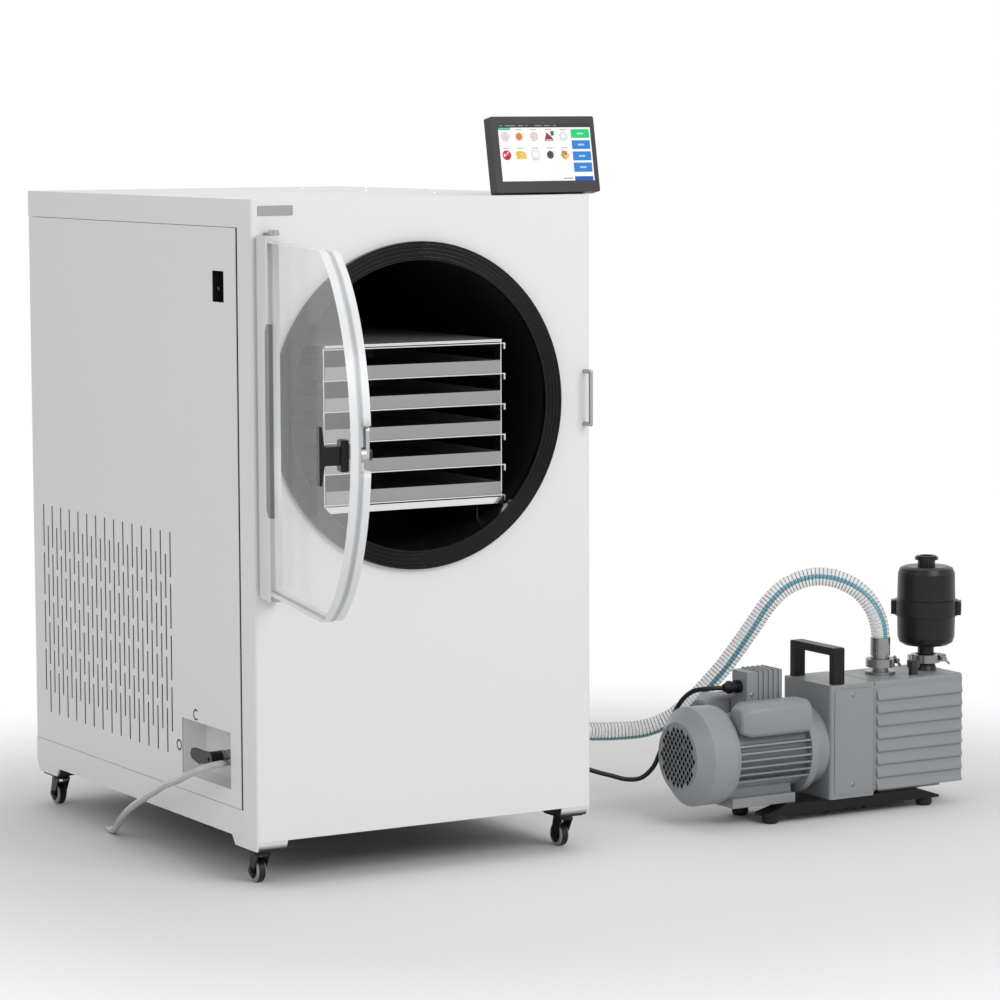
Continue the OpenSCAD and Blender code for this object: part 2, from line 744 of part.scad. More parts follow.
module round_rect_mid(size, r) { translate(-size / 2) round_rect(size, r); }

// Shaft through the door with the cam, its knurled nut and its end screw
module latch_cam() color(steel) door_place() translate([latch_u, 0, latch_z]) {
    cam_v = v_in;
    hub_end = v_out + 2 * seat + block_t + hub_t;
    translate([0, -hub_end, 0]) rod_y(shaft_r, hub_end - cam_v);
    translate([0, -cam_v, 0]) raised_front(cam_t) {
        translate([-cam_w / 2, 0]) square([cam_w, cam_len - cam_w / 2]);
        translate([0, cam_len - cam_w / 2]) circle(cam_w / 2);
        circle(cam_w / 2);
    }
    translate([0, -cam_v - eps, 0]) rod_y(8, 4.5);
    translate([0, -cam_v - cam_t - 7, 0]) rod_y(11, 7 + eps);
}

module strike() color(steel) translate([strike_x, 0, strike_mid]) {
    for (s = [-1, 1]) translate([0, strike_y, s * strike_half]) {
        rod_y(rod_r, -strike_y);
        sphere(rod_r);
    }
    translate([0, strike_y, -strike_half]) cylinder(r = rod_r, h = 2 * strike_half);
}

module hinge_brackets() color(steel) for (s = [-1, 1])
    translate([hinge_x, 0, door_z + s * (bar_half + seat + 0.1)]) mirror([0, 0, s < 0 ? 1 : 0]) {
        linear_extrude(tongue_t) {
            translate([0, pivot_y]) circle(9);
            translate([-9, pivot_y]) square([18, hinge_out]);
        }
        translate([0, pivot_y, -20]) cylinder(r = hinge_pin_r, h = 20 + tongue_t);
        translate([0, pivot_y, tongue_t - eps]) difference() {
            cylinder(r = 7.5, h = 4);
            translate([0, 0, 1.5]) cylinder(r = 3.5, h = 4, $fn = 6);
        }
    }

// ---- Display ----

module display_place() {
    translate([display_x, 2, top_z + seat + display_t * sin(display_tilt)])
        rotate([-display_tilt, 0, 0]) children();
}

module display_housing() color(dark) display_place() difference() {
    translate([0, display_t, 0]) raised_front(display_t) round_rect([display_w, display_h], 3);
    translate([screen_left, 1.2, screen_low]) raised_front(3) square([screen_w, screen_h]);
}

module display_glass() color([0.1, 0.12, 0.15]) display_place()
    translate([screen_left + seat, 1.2, screen_low + seat]) raised_front(1)
        square([screen_w - 2 * seat, screen_h - 2 * seat]);

// Folded foot behind the display
module display_bracket() color(dark) translate([display_x + 55, 0, top_z + seat]) {
    y0 = 32;
    translate([0, y0, 0]) cube([80, 46, 2.5]);
    display_wedge = (70 - 2) * tan(display_tilt);
    raised_x(80) polygon([[y0, 0], [y0 + 3, 0], [y0 + 3 + display_wedge, 70], [y0 + display_wedge, 70]]);
    raised_x(3) polygon([[y0 + 2, 2], [y0 + 44, 2], [y0 + 4 + display_wedge, 60]]);
    translate([77, 0, 0]) raised_x(3) polygon([[y0 + 2, 2], [y0 + 44, 2], [y0 + 4 + display_wedge, 60]]);
}

// ---- Refrigeration ----

module compressor() color(black) translate([400, 560, skirt_z + sheet_t]) {
    translate([0, 0, 14]) rotate_extrude($fn = 96) {
        translate([0, 30]) square([88, 150]);
        intersection() {
            union() {
                translate([58, 30]) circle(30);
                translate([58, 180]) circle(30);
                translate([0, 0]) square([58, 210]);
            }
            square([88, 210]);
        }
    }
    translate([0, 0, 108]) linear_extrude(4) circle(94, $fn = 96);
    for (a = [45:90:315]) rotate([0, 0, a]) {
        translate([50, -12, 12]) cube([70, 24, 4]);
        translate([108, 0, 0]) cylinder(r = 10, h = 12 + eps);
    }
}

module condenser() color([0.62, 0.63, 0.65]) translate([0, cond_y, cond_z]) {
    x0 = 22;
    // Fin pack between two end plates
    for (i = [0:24]) translate([x0, -cond_l / 2 + 4 + i * (cond_l - 8) / 24, 0]) cube([40, 1, cond_h]);
    for (k = [0:7]) translate([x0 + 20, -cond_l / 2 - 8, 20 + k * (cond_h - 40) / 7]) rod_y(5, cond_l + 16);
    for (s = [-1, 1]) translate([x0 - 2, s * (cond_l / 2) - 1, -cond_z + skirt_z + sheet_t])
        cube([84, 2, cond_h + cond_z - skirt_z - sheet_t]);
    // Shroud with the fan's mouth and motor
    difference() {
        translate([x0 + 58, -cond_l / 2, 0]) cube([2, cond_l, cond_h]);
        translate([x0 + 57, 0, cond_h / 2]) rod_x(fan_r + 6, 4);
    }
    translate([0, 0, cond_h / 2]) {
        difference() {
            translate([x0 + 96, 0, 0]) rod_x(32, 40);
            translate([x0 + 95, 0, 0]) rod_x(5 + run_gap, 30);
        }
        for (a = [45, 135]) translate([x0 + 132, 0, 0]) rotate([a, 0, 0])
            translate([0, -4, -fan_r - 24]) cube([3, 8, 2 * fan_r + 48]);
        for (a = [45:90:315]) rotate([a, 0, 0]) translate([x0 + 60 - eps, -4, fan_r + 12]) cube([75, 8, 8]);
    }
}

module fan_blades(r_hub, r_tip, depth, count, pitch) {
    for (i = [0:count - 1]) rotate([i * 360 / count, 0, 0])
        intersection() {
            translate([0, 0, r_hub - 3]) rotate([0, 0, pitch])
                translate([-1.2, -depth * 0.8, 0]) cube([2.4, depth * 1.6, r_tip - r_hub + 3]);
            rod_x(r_tip, depth);
        }
}

module condenser_fan() color(black) translate([22 + 62, cond_y, cond_fan_z]) {
    rod_x(30, 28);
    translate([27, 0, 0]) rod_x(5, 30);
    fan_blades(30, fan_r, 26, 5, 60);
}

module vacuum_pipe() color(steel) {
    translate([body_w - sheet_t - 150, port_y, port_z]) rod_x(13, 150 + sheet_t + 32 - 0.3);
    translate([body_w - sheet_t - 14, port_y, port_z]) rod_x(20, 14 - seat);
    translate([body_w - sheet_t - 150, port_y, port_z]) sphere(13);
    translate([body_w - sheet_t - 150, port_y, port_z]) cylinder(r = 13, h = deck_z - port_z - 1);
    // Socket of the pump's cable
    translate([body_w - 40, socket_y, socket_z]) rod_x(11, 62 - 0.3);
    translate([body_w + 0.2, socket_y, socket_z]) rod_x(16, 5);
    translate([body_w - sheet_t - 45, socket_y - 20, socket_z - 22]) cube([44, 40, 44]);
}

// ---- Casters ----

module caster_at(mx, my) {
    translate([mx ? body_w - caster_in : caster_in, my ? body_d - caster_in_y : caster_in_y, 0]) children();
}

module caster_plates() color(black) for (mx = [0, 1], my = [0, 1]) caster_at(mx, my) difference() {
    union() {
        translate([-23, -26, swivel_z - plate_t - seat]) round_box([46, 52, plate_t], 4);
        translate([0, 0, fork_top + 0.8]) cylinder(r = 15, h = swivel_z - plate_t - fork_top - 0.8);
    }
    cylinder(r = swivel_r + run_gap, h = swivel_z + 1);
}

module caster_fork() color(black) {
    cheek = wheel_w / 2 + 1.2;
    cylinder_top = swivel_z - 1.5;
    translate([0, 0, fork_top - 2]) cylinder(r = swivel_r, h = cylinder_top - fork_top + 2);
    translate([0, 0, fork_top - 3]) cylinder(r = 14, h = 3);
    translate([-cheek - 2.5, 0, 0]) {
        for (x = [0, 2 * cheek + 2.5]) translate([x, 0, 0]) raised_x(2.5) {
            translate([trail, wheel_r]) circle(8);
            polygon([[trail - 8, wheel_r], [-11, fork_top - 3], [-11, fork_top], [13, fork_top],
                [trail + 8, wheel_r]]);
        }
        translate([0, -11, fork_top - 3]) cube([2 * cheek + 5, 24, 3]);
        translate([-1.5, trail, wheel_r]) rod_x(axle_r, 2 * cheek + 8);
        for (x = [-2.5, 2 * cheek + 5]) translate([x, trail, wheel_r]) rod_x(4.5, 2.5);
    }
}

module caster_wheel() {
    translate([-wheel_w / 2, trail, wheel_r]) turned_x() {
        difference() {
            translate([axle_r + run_gap, 0]) square([wheel_r - axle_r - run_gap, wheel_w]);
            translate([7, -1]) square([6, 3]);
            translate([7, wheel_w - 2]) square([6, 3]);
            for (y = [0, wheel_w]) translate([wheel_r, y]) circle(2.2, $fn = 24);
        }
    }
}

module caster_fork_fl() caster_at(0, 0) caster_fork();
module caster_fork_fr() caster_at(1, 0) caster_fork();
module caster_fork_rl() caster_at(0, 1) caster_fork();
module caster_fork_rr() caster_at(1, 1) caster_fork();
module caster_wheel_fl() color(dark) caster_at(0, 0) caster_wheel();
module caster_wheel_fr() color(dark) caster_at(1, 0) caster_wheel();
module caster_wheel_rl() color(dark) caster_at(0, 1) caster_wheel();
module caster_wheel_rr() color(dark) caster_at(1, 1) caster_wheel();

// ---- Vacuum pump ----

module pump_base() color(black) {
    for (y = [pump_y - 62, pump_y + 28]) translate([0, y + 34, 0]) difference() {
        raised_front(34) polygon([[base_x0, rest_z], [base_x0 + 12, rest_z], [base_x1 - 12, rest_z],
            [base_x1, rest_z], [base_x1, rest_z + 4], [base_x1 - 42, rail_top],
            [base_x0 + 50, rail_top], [base_x0, rest_z + 4]]);
        translate([0, -3, 0]) raised_front(28)
            polygon([[base_x0 + 30, rest_z - 1], [base_x1 - 30, rest_z - 1],
                [base_x1 - 48, rail_top - 4], [base_x0 + 56, rail_top - 4]]);
    }
    translate([block_x - 40, pump_y - 30, rail_top - 5]) cube([case_end - block_x - 30, 60, 5]);
    for (x = [block_x + 12, block_x + 88]) translate([x, pump_y - 45, 6]) {
        cylinder(r = 4, h = rail_top - 8);
        translate([0, 0, 4]) cylinder(r = 6.5, h = 5, $fn = 6);
    }
}

module pump_feet() color(dark) for (x = [base_x0 + 20, base_x1 - 20], y = [pump_y - 45, pump_y + 45])
    translate([x, y, 0]) {
        cylinder(r1 = 12, r2 = 14, h = 4);
        translate([0, 0, 4]) cylinder(r = 14, h = rest_z - 4 - seat);
    }

module fan_cover() color(grey) translate([motor_x, pump_y, motor_z]) difference() {
    end_r = 59;
    t = 2;
    cone = 21;
    turned_x() {
        difference() {
            polygon([[0, 0], [end_r, 0], [cover_r, cone], [cover_r, cover_len], [0, cover_len]]);
            polygon([[0, t], [end_r - 1, t], [cover_r - t, cone + 1], [cover_r - t, cover_len + 1],
                [0, cover_len + 1]]);
        }
    }
    // Diamond grille in the end face
    pitch_y = 12;
    pitch_z = 15;
    translate([-1, 0, 0]) raised_x(t + 2) for (i = [-8:8], k = [-7:7])
        let (y = i * pitch_y / 2, z = k * pitch_z / 2)
        if ((i + k) % 2 == 0 && norm([y, z]) < end_r - 9 && norm([y, z]) > 9)
            translate([y, z]) polygon([[-3.6, 0], [0, -5.4], [3.6, 0], [0, 5.4]]);
    translate([-1, 0, 0]) rod_x(4.5, t + 2);
}

module motor_housing() color(grey) translate([body_x, pump_y, motor_z]) {
    difference() {
        union() {
            translate([seat, 0, 0]) rod_x(motor_r, motor_len);
            translate([seat, 0, 0]) rod_x(cover_r - 2.3, 8);
            // Fins down both sides
            intersection() {
                for (k = [0:fin_count - 1]) let (z = (k - (fin_count - 1) / 2) * 12 - 8)
                    translate([8, -fin_r, z - 1.4]) cube([motor_len - 8, 2 * fin_r, 2.8]);
                rod_x(fin_r, motor_len);
            }
            // End shield towards the pump
            translate([motor_len, 0, 0]) rod_x(80, 14);
            translate([motor_len + 13, 0, 0]) rod_x(68, 31 - seat);
        }
        translate([-1, 0, 0]) rod_x(motor_shaft_r + run_gap, 40);
    }
    // Cast foot
    translate([12, -50, rail_top + seat - motor_z]) cube([motor_len - 26, 100, 16]);
    translate([12, -36, rail_top + 10 - motor_z]) cube([motor_len - 26, 72, motor_z - rail_top - 50]);
}

module motor_fan() color(black) translate([motor_x + 22, pump_y, motor_z]) {
    rod_x(16, 30);
    translate([29, 0, 0]) rod_x(motor_shaft_r, 42);
    translate([24, 0, 0]) rod_x(46, 3);
    for (i = [0:7]) rotate([i * 45, 0, 0]) translate([2, -1.2, 14]) cube([25, 2.4, 54]);
}

module terminal_box() color(grey) translate([body_x + 58, pump_y - 24, motor_z]) {
    difference() {
        translate([0, 0, 40]) cube([72, 48, 46]);
        translate([-1, 24, 0]) rod_x(motor_r + seat, 74);
    }
    translate([0, 0, 85.9]) round_box([72, 48, 50.1], 4);
    for (i = [0:4]) translate([22 + i * 10, -2.5, 88]) cube([4, 53, 44]);
    for (i = [0:4]) translate([22 + i * 10, -2.5, 131]) cube([4, 53, 7]);
}

module cable_gland() color(black) translate([body_x + 58 - seat, pump_y, cable_route[0][2]]) {
    mirror([1, 0, 0]) {
        rod_x(11, 8);
        translate([7, 0, 0]) rod_x(9, 12);
        translate([18, 0, 0]) rod_x(11, 5);
        rotate([0, 90, 0]) translate([0, 0, 22.9]) cylinder(r1 = 10, r2 = 6, h = 8.9);
    }
}

// Covers over the start and run capacitors, on saddles
module capacitor_covers() color(grey) for (m = [0, 1]) translate([body_x + 14, pump_y, motor_z])
    mirror([0, m, 0]) difference() {
        union() {
            translate([0, -56, 62]) turned_x() {
                translate([0, 0]) polygon([[0, 0], [22, 0], [31, 12], [31, 130], [22, 137], [0, 137]]);
            }
            translate([14, -60, 34]) cube([112, 40, 30]);
        }
        translate([-1, 0, 0]) rod_x(motor_r + seat, 150);
        translate([-1, -25 + 0.4, 0]) cube([150, 60, 120]);
    }

module pump_block() color(grey) translate([block_x, pump_y - pump_w / 2, 0]) {
    z0 = rail_top + seat;
    translate([0, 0, z0]) round_box([block_len, pump_w, pump_top - z0], 6);
    for (m = [0, 1]) translate([0, m * pump_w, 0]) mirror([0, m, 0])
        translate([8, 0.5, z0 + 8]) raised_front(2) round_rect([block_len - 14, pump_top - z0 - 16], 3);
    translate([block_len - 1, 4, z0 + 4]) cube([3 - seat, pump_w - 8, pump_top - z0 - 10]);
}

module pump_handle() color(black) translate([block_x + 10, pump_y - pump_w / 2 + 6, pump_top + seat]) {
    w = pump_w - 12;
    post = 13;
    raised_x(22) difference() {
        translate([0, -4]) round_rect([w, handle_h + 4], 4);
        translate([post, -5]) square([w - 2 * post, handle_h - 8]);
        translate([-1, -10]) square([w + 2, 10]);
    }
}

// Side of the oil case, cut like overlapping boards
function louvre(z0, pitch, i) = [[-louvre_out, z0 + i * pitch], [-louvre_out, z0 + i * pitch + 3],
    [0, z0 + (i + 1) * pitch - 3], [0, z0 + (i + 1) * pitch]];
module louvres(z0, h) {
    pitch = h / louvre_count;
    polygon(concat([[0.5, z0]], [for (i = [0:louvre_count - 1]) each louvre(z0, pitch, i)],
        [[0.5, z0 + h]]));
}

module oil_case() color(grey) translate([case_x, pump_y - pump_w / 2, 0]) {
    z0 = rail_top + 8;
    h = pump_top - z0;
    difference() {
        union() {
            translate([0, 4, z0]) cube([case_len - 6, pump_w - 8, h - 6]);
            translate([0, 10, z0 + 1]) cube([case_len - 6, pump_w - 20, h - 1]);
            for (y = [10, pump_w - 10]) translate([0, y, pump_top - 6]) rod_x(6, case_len - 6);
            translate([case_len - 7, 12, z0 + 8]) cube([7, pump_w - 24, h - 20]);
            for (m = [0, 1]) translate([4, m * pump_w, 0]) mirror([0, m, 0]) translate([0, 4, 0])
                raised_x(case_len - 12) louvres(z0, h - 10);
        }
        for (x = [inlet_x, exhaust_x]) translate([x - case_x, pump_w / 2, pump_top - 12])
            cylinder(r = 12.5, h = 20);
    }
    translate([20, 20, rail_top + seat]) cube([case_len - 60, pump_w - 40, 9]);
    // Oil filler cap
    translate([inlet_x - case_x + 36, 24, pump_top - eps]) {
        cylinder(r = 8, h = 14);
        translate([0, 0, 14]) cylinder(r = 11, h = 12, $fn = 8);
    }
}

// Stub, flange and hose socket of the inlet
module inlet_adapter() color(steel) translate([inlet_x, pump_y, 0]) difference() {
    union() {
        translate([0, 0, pump_top + seat]) cylinder(r = 26, h = 5);
        translate([0, 0, pump_top + 4]) cylinder(r = 14, h = flange_z - pump_top - 4);
        translate([0, 0, flange_z - 4]) cylinder(r = kf_r, h = 8);
        translate([0, 0, flange_z]) cylinder(r = 15, h = adapter_top - flange_z);
        translate([0, 0, flange_z + 12]) cylinder(r = 17, h = adapter_top - flange_z - 12);
    }
    translate([0, 0, pump_top - 1]) cylinder(r = 11, h = adapter_top - pump_top + 2);
}

// Hinged clamp rings with their wing nuts
module kf_clamp() {
    translate([0, 0, -7]) difference() {
        union() {
            cylinder(r = kf_r + 5, h = 14);
            translate([-kf_r - 11, -5, 1]) cube([14, 10, 12]);
            translate([kf_r, -8, 1]) cube([14, 16, 12]);
        }
        translate([0, 0, -1]) cylinder(r = 17.2, h = 16);
        translate([0, 0, 2]) cylinder(r = kf_r + seat, h = 10);
        translate([kf_r - 4, -1.5, -1]) cube([30, 3, 16]);
    }
    translate([kf_r + 9, -14, 0]) rod_y(2.5, 28);
    translate([kf_r + 9, -18, 0]) rotate([0, 45, 0]) {
        rod_y(4.5, 8);
        translate([-13, 1, -2]) cube([26, 3, 4]);
    }
}

module kf_clamps() color(steel) {
    translate([inlet_x, pump_y, flange_z]) rotate([0, 0, 20]) kf_clamp();
    translate([exhaust_x, pump_y, flange_z]) rotate([0, 0, -25]) kf_clamp();
}

module exhaust_filter() color(black) translate([exhaust_x, pump_y, 0]) difference() {
    r = filter_r;
    top = filter_z + filter_h;
    union() {
        filter_clips();
        rotate_extrude($fn = 96) {
            // Neck on the pump
            polygon([[0, pump_top + seat], [19.5, pump_top + seat], [14, flange_z - 4], [kf_r, flange_z - 4],
                [kf_r, flange_z + 4], [14, flange_z + 4], [14, filter_z + 2], [0, filter_z + 2]]);
            // Canister with its clamping band
            polygon([[0, filter_z], [r - 12, filter_z], [r - 4, filter_z + 5], [r - 1, filter_z + 14],
                [r, filter_z + 50], [r + band_out, filter_z + 51], [r + band_out, filter_z + 78],
                [r, filter_z + 79],
                [r - 1, top - 12], [r - 5, top - 3], [r - 12, top], [0, top]]);
            translate([0, top - 1]) square([15, 13]);
            translate([0, top + 11]) square([kf_r, 5]);
            translate([0, top + 15]) square([17, 3]);
        }
    }
    translate([0, 0, filter_z + filter_h - 14]) cylinder(r = 12, h = 40);
}

// Two over-centre clips that close the filter's band
module filter_clips() translate([0, 0, filter_z + 52.5]) for (a = [0, 180]) rotate([0, 0, a + clip_turn])
    difference() {
        out = filter_r + band_out + clip_out;
        translate([filter_r - 8, -12, 0]) round_box([out - filter_r + 8, 24, 24], 3);
        translate([out - 3.5, -8, 4]) cube([clip_out, 16, 16]);
    }

// ---- Cords ----

module vacuum_hose() color([0.85, 0.88, 0.9]) swept(hose_route, hose_ends, hose_r, 12);
module pump_cable() color(black) swept(cable_route, cable_ends, cable_r, 8);
module drain_hose() color([0.85, 0.86, 0.87]) swept(drain_route, drain_ends, drain_r, 8);

// Puts a piece under the part's own origin, below the middle of its box
module in_frame() { translate([-mid_x, -mid_y, 0]) children(); }

in_frame() front_panel();
in_frame() left_panel();
in_frame() right_panel();
in_frame() rear_panel();
in_frame() top_cover();
in_frame() base_pan();
in_frame() mid_deck();
in_frame() service_lid();
in_frame() panel_screws();
in_frame() recess_boxes();
in_frame() breaker();
in_frame() breaker_toggle();
in_frame() drain_valve();
in_frame() valve_lever();
in_frame() chamber();
in_frame() door_gasket();
in_frame() rack_frame();
in_frame() shelves();
in_frame() trays();
in_frame() strike();
in_frame() hinge_brackets();
in_frame() display_bracket();
in_frame() display_housing();
in_frame() display_glass();
in_frame() compressor();
in_frame() condenser();
in_frame() condenser_fan();
in_frame() vacuum_pipe();
in_frame() caster_plates();
in_frame() caster_fork_fl();
in_frame() caster_fork_fr();
in_frame() caster_fork_rl();
in_frame() caster_fork_rr();
in_frame() caster_wheel_fl();
in_frame() caster_wheel_fr();
in_frame() caster_wheel_rl();
in_frame() caster_wheel_rr();
in_frame() door_plate();
in_frame() door_bar();
in_frame() door_clamp();
in_frame() latch_block();
in_frame() latch_handle();
in_frame() latch_cam();
in_frame() pump_base();
in_frame() pump_feet();
in_frame() motor_housing();
in_frame() fan_cover();
in_frame() motor_fan();
in_frame() terminal_box();
in_frame() cable_gland();
in_frame() capacitor_covers();
in_frame() pump_block();
in_frame() pump_handle();
in_frame() oil_case();
in_frame() inlet_adapter();
in_frame() kf_clamps();
in_frame() exhaust_filter();
in_frame() vacuum_hose();
in_frame() pump_cable();
in_frame() drain_hose();
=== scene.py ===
"""Looks of the cabinet freeze dryer and its vacuum pump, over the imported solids."""
import math

import bmesh
import bpy
from mathutils import Matrix, Vector


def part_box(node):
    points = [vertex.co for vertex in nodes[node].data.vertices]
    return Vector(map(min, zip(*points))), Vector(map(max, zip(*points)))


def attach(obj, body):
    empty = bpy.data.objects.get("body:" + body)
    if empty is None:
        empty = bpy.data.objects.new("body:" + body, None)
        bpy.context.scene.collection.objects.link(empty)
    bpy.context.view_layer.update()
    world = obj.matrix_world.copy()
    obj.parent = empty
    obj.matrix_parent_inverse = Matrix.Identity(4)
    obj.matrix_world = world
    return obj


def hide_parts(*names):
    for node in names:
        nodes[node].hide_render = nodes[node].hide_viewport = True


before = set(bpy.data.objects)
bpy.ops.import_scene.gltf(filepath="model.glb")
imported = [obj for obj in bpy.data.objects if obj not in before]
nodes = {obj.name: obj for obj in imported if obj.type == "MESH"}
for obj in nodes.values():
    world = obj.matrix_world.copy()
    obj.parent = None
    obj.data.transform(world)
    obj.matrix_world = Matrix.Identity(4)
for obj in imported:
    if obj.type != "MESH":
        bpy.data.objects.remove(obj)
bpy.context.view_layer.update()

# Left, front edge of the cabinet on the floor. Places below are in millimetres from it.
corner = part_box("front_panel")[0]


def at(x, y, z):
    return Vector((corner.x + x / 1000, corner.y + y / 1000, z / 1000))


# ---- Camera, in millimetres and degrees ----

CAMERA_PLACE = (-2467.7, -4958.1, 1180.6)
CAMERA_TURN = 30.327
CAMERA_DROP = 5.997
CAMERA_ROLL = -0.227
CAMERA_LENS = 131.8


def add_object(name, data):
    made = bpy.data.objects.new(name, data)
    bpy.context.scene.collection.objects.link(made)
    return made


def make_camera():
    data = bpy.data.cameras.new("camera")
    data.sensor_width = 36
    data.lens = CAMERA_LENS
    data.clip_end = 100
    camera = add_object("camera", data)
    camera.matrix_world = (
        Matrix.Translation(at(*CAMERA_PLACE))
        @ Matrix.Rotation(-math.radians(CAMERA_TURN), 4, "Z")
        @ Matrix.Rotation(math.radians(90 - CAMERA_DROP), 4, "X")
        @ Matrix.Rotation(math.radians(CAMERA_ROLL), 4, "Z")
    )
    bpy.context.scene.camera = camera


make_camera()


# ---- Cords ----

HOSE_ROUTE = [
    (632, 330, 140), (676, 330, 139), (720, 328, 135), (764, 325, 132), (808, 319, 128),
    (850, 307, 127), (890, 289, 131), (926, 269, 147), (956, 251, 174), (982, 235, 206),
    (1007, 221, 239), (1030, 208, 275), (1051, 195, 311), (1073, 182, 348), (1101, 167, 377),
    (1137, 145, 392), (1173, 121, 388), (1204, 98, 367), (1224, 82, 332), (1231, 76, 289),
]
CABLE_ROUTE = [
    (908, 76, 228), (883, 82, 228), (867, 102, 223), (863, 124, 210), (863, 144, 193),
    (865, 162, 174), (865, 177, 152), (863, 188, 129), (858, 195, 104), (848, 200, 80),
    (829, 207, 63), (806, 217, 61), (782, 228, 68), (759, 237, 75), (736, 245, 84), (713, 252, 96),
    (692, 258, 111), (671, 263, 126), (648, 267, 137), (622, 268, 140),
]
DRAIN_ROUTE = [
    (-8, 100, 182), (-37, 106, 177), (-55, 126, 165), (-56, 153, 154), (-54, 182, 145),
    (-53, 211, 136), (-51, 239, 126), (-48, 267, 115), (-46, 295, 105), (-42, 323, 94),
    (-38, 351, 84), (-34, 379, 73), (-30, 406, 62), (-25, 433, 50), (-20, 460, 37), (-15, 486, 22),
    (-10, 512, 9), (-7, 542, 6),
]


CURVE_STEPS = 16
CORD_STEP = 0.004
HOSE_RADIUS, HOSE_PITCH, HOSE_GROOVE = 0.0158, 0.0063, 0.0007
CABLE_RADIUS = 0.004
DRAIN_RADIUS, DRAIN_BORE, BORE_DEPTH = 0.0055, 0.0038, 0.012


def smooth_course(route, leaving, arriving, step):
    """Evenly spaced places on one smooth curve through a route, about a step apart."""
    points = [at(*p) for p in route]
    before = points[1] - 2 * (points[1] - points[0]).length * Vector(leaving).normalized()
    after = points[-2] + 2 * (points[-1] - points[-2]).length * Vector(arriving).normalized()
    points = [before] + points + [after]
    fine = []
    for i in range(1, len(points) - 2):
        p0, p1, p2, p3 = points[i - 1:i + 3]
        for k in range(CURVE_STEPS):
            t = k / CURVE_STEPS
            fine.append(0.5 * (2 * p1 + (p2 - p0) * t + (2 * p0 - 5 * p1 + 4 * p2 - p3) * t * t
                               + (3 * p1 - p0 - 3 * p2 + p3) * t * t * t))
    fine.append(points[-2])
    runs = [0.0]
    for a, b in zip(fine, fine[1:]):
        runs.append(runs[-1] + (b - a).length)
    count = max(2, round(runs[-1] / step))
    course, k = [], 0
    for i in range(count + 1):
        want = runs[-1] * i / count
        while k < len(fine) - 2 and runs[k + 1] < want:
            k += 1
        share = (want - runs[k]) / max(runs[k + 1] - runs[k], 1e-9)
        course.append(fine[k].lerp(fine[k + 1], min(1.0, share)))
    return course


def raise_face(shape, face, way):
    """Draws a face out along a vector."""
    raised = bmesh.ops.extrude_face_region(shape, geom=[face])
    moved = [v for v in raised["geom"] if isinstance(v, bmesh.types.BMVert)]
    bmesh.ops.translate(shape, verts=moved, vec=way)


def make_tube(name, course, radius, sides, pitch=None, groove=0.0, bore=0.0, faces=None):
    """Round tube along a course. Its UV map runs round it in U and along it, in metres, in V.

    A pitch gives it ribs with grooves between them, and a bore opens its far end. U starts on the
    side that `faces` gives for each share of the length, if it is there.
    """
    mesh = bpy.data.meshes.new(name)
    shape = bmesh.new()
    uv = shape.loops.layers.uv.new("along")
    rings, runs, run, side = [], [], 0.0, None
    for i, place in enumerate(course):
        ahead = (course[min(i + 1, len(course) - 1)] - course[max(i - 1, 0)]).normalized()
        if faces:
            side = faces(i / (len(course) - 1))
        elif side is None:
            upright = Vector((0, 0, 1)) if abs(ahead.z) < 0.9 else Vector((0, 1, 0))
            side = ahead.cross(upright).normalized()
        side = (side - ahead * side.dot(ahead)).normalized()
        up = ahead.cross(side)
        if i:
            run += (place - course[i - 1]).length
        r = radius
        if pitch:
            r -= groove * abs(math.cos(math.pi * run / pitch)) ** 6
        rings.append([shape.verts.new(place + r * (math.cos(a) * side + math.sin(a) * up))
                      for a in (2 * math.pi * k / sides for k in range(sides))])
        runs.append(run)
    for i in range(len(rings) - 1):
        for k in range(sides):
            n = (k + 1) % sides
            face = shape.faces.new((rings[i][k], rings[i][n], rings[i + 1][n], rings[i + 1][k]))
            face.smooth = True
            for loop, (u, v) in zip(face.loops, ((k, i), (k + 1, i), (k + 1, i + 1), (k, i + 1))):
                loop[uv].uv = (u / sides, runs[v])
    shape.faces.new(list(reversed(rings[0])))
    end = shape.faces.new(rings[-1])
    if bore:
        bmesh.ops.inset_region(shape, faces=[end], thickness=radius - bore, use_even_offset=True)
        raise_face(shape, end, (course[-2] - course[-1]).normalized() * BORE_DEPTH)
        if end.is_valid:
            shape.faces.remove(end)
    shape.to_mesh(mesh)
    shape.free()
    return add_object(name, mesh)


def stripe_faces(share):
    """Way that the coloured line of the vacuum hose faces, at a share of the hose's length."""
    keys = ((0.0, (-0.33, -0.49, -0.76)), (0.3, (-0.34, -0.56, -0.66)), (0.5, (-0.38, -0.88, -0.10)),
            (0.8, (-0.55, -0.83, 0.14)), (1.0, (-0.02, -0.99, 0.12)))
    for (a, first), (b, second) in zip(keys, keys[1:]):
        if share <= b:
            t = (share - a) / (b - a)
            return Vector(first).lerp(Vector(second), t * t * (3 - 2 * t))
    return Vector(keys[-1][1])


hose_course = smooth_course(HOSE_ROUTE, (1, 0, 0), (0, 0, -1), HOSE_PITCH / 6)
vacuum_hose = make_tube("clear_vacuum_hose", hose_course, HOSE_RADIUS, 28, pitch=HOSE_PITCH,
                        groove=HOSE_GROOVE, faces=stripe_faces)
cable_course = smooth_course(CABLE_ROUTE, (-1, 0, 0), (-1, 0, 0), CORD_STEP)
pump_cable = make_tube("black_pump_cable", cable_course, CABLE_RADIUS, 16)
drain_course = smooth_course(DRAIN_ROUTE, (-1, 0, 0), (0, 1, 0), CORD_STEP)
drain_hose = make_tube("milky_drain_hose", drain_course, DRAIN_RADIUS, 20, bore=DRAIN_BORE)


# ---- Shader groups and materials ----

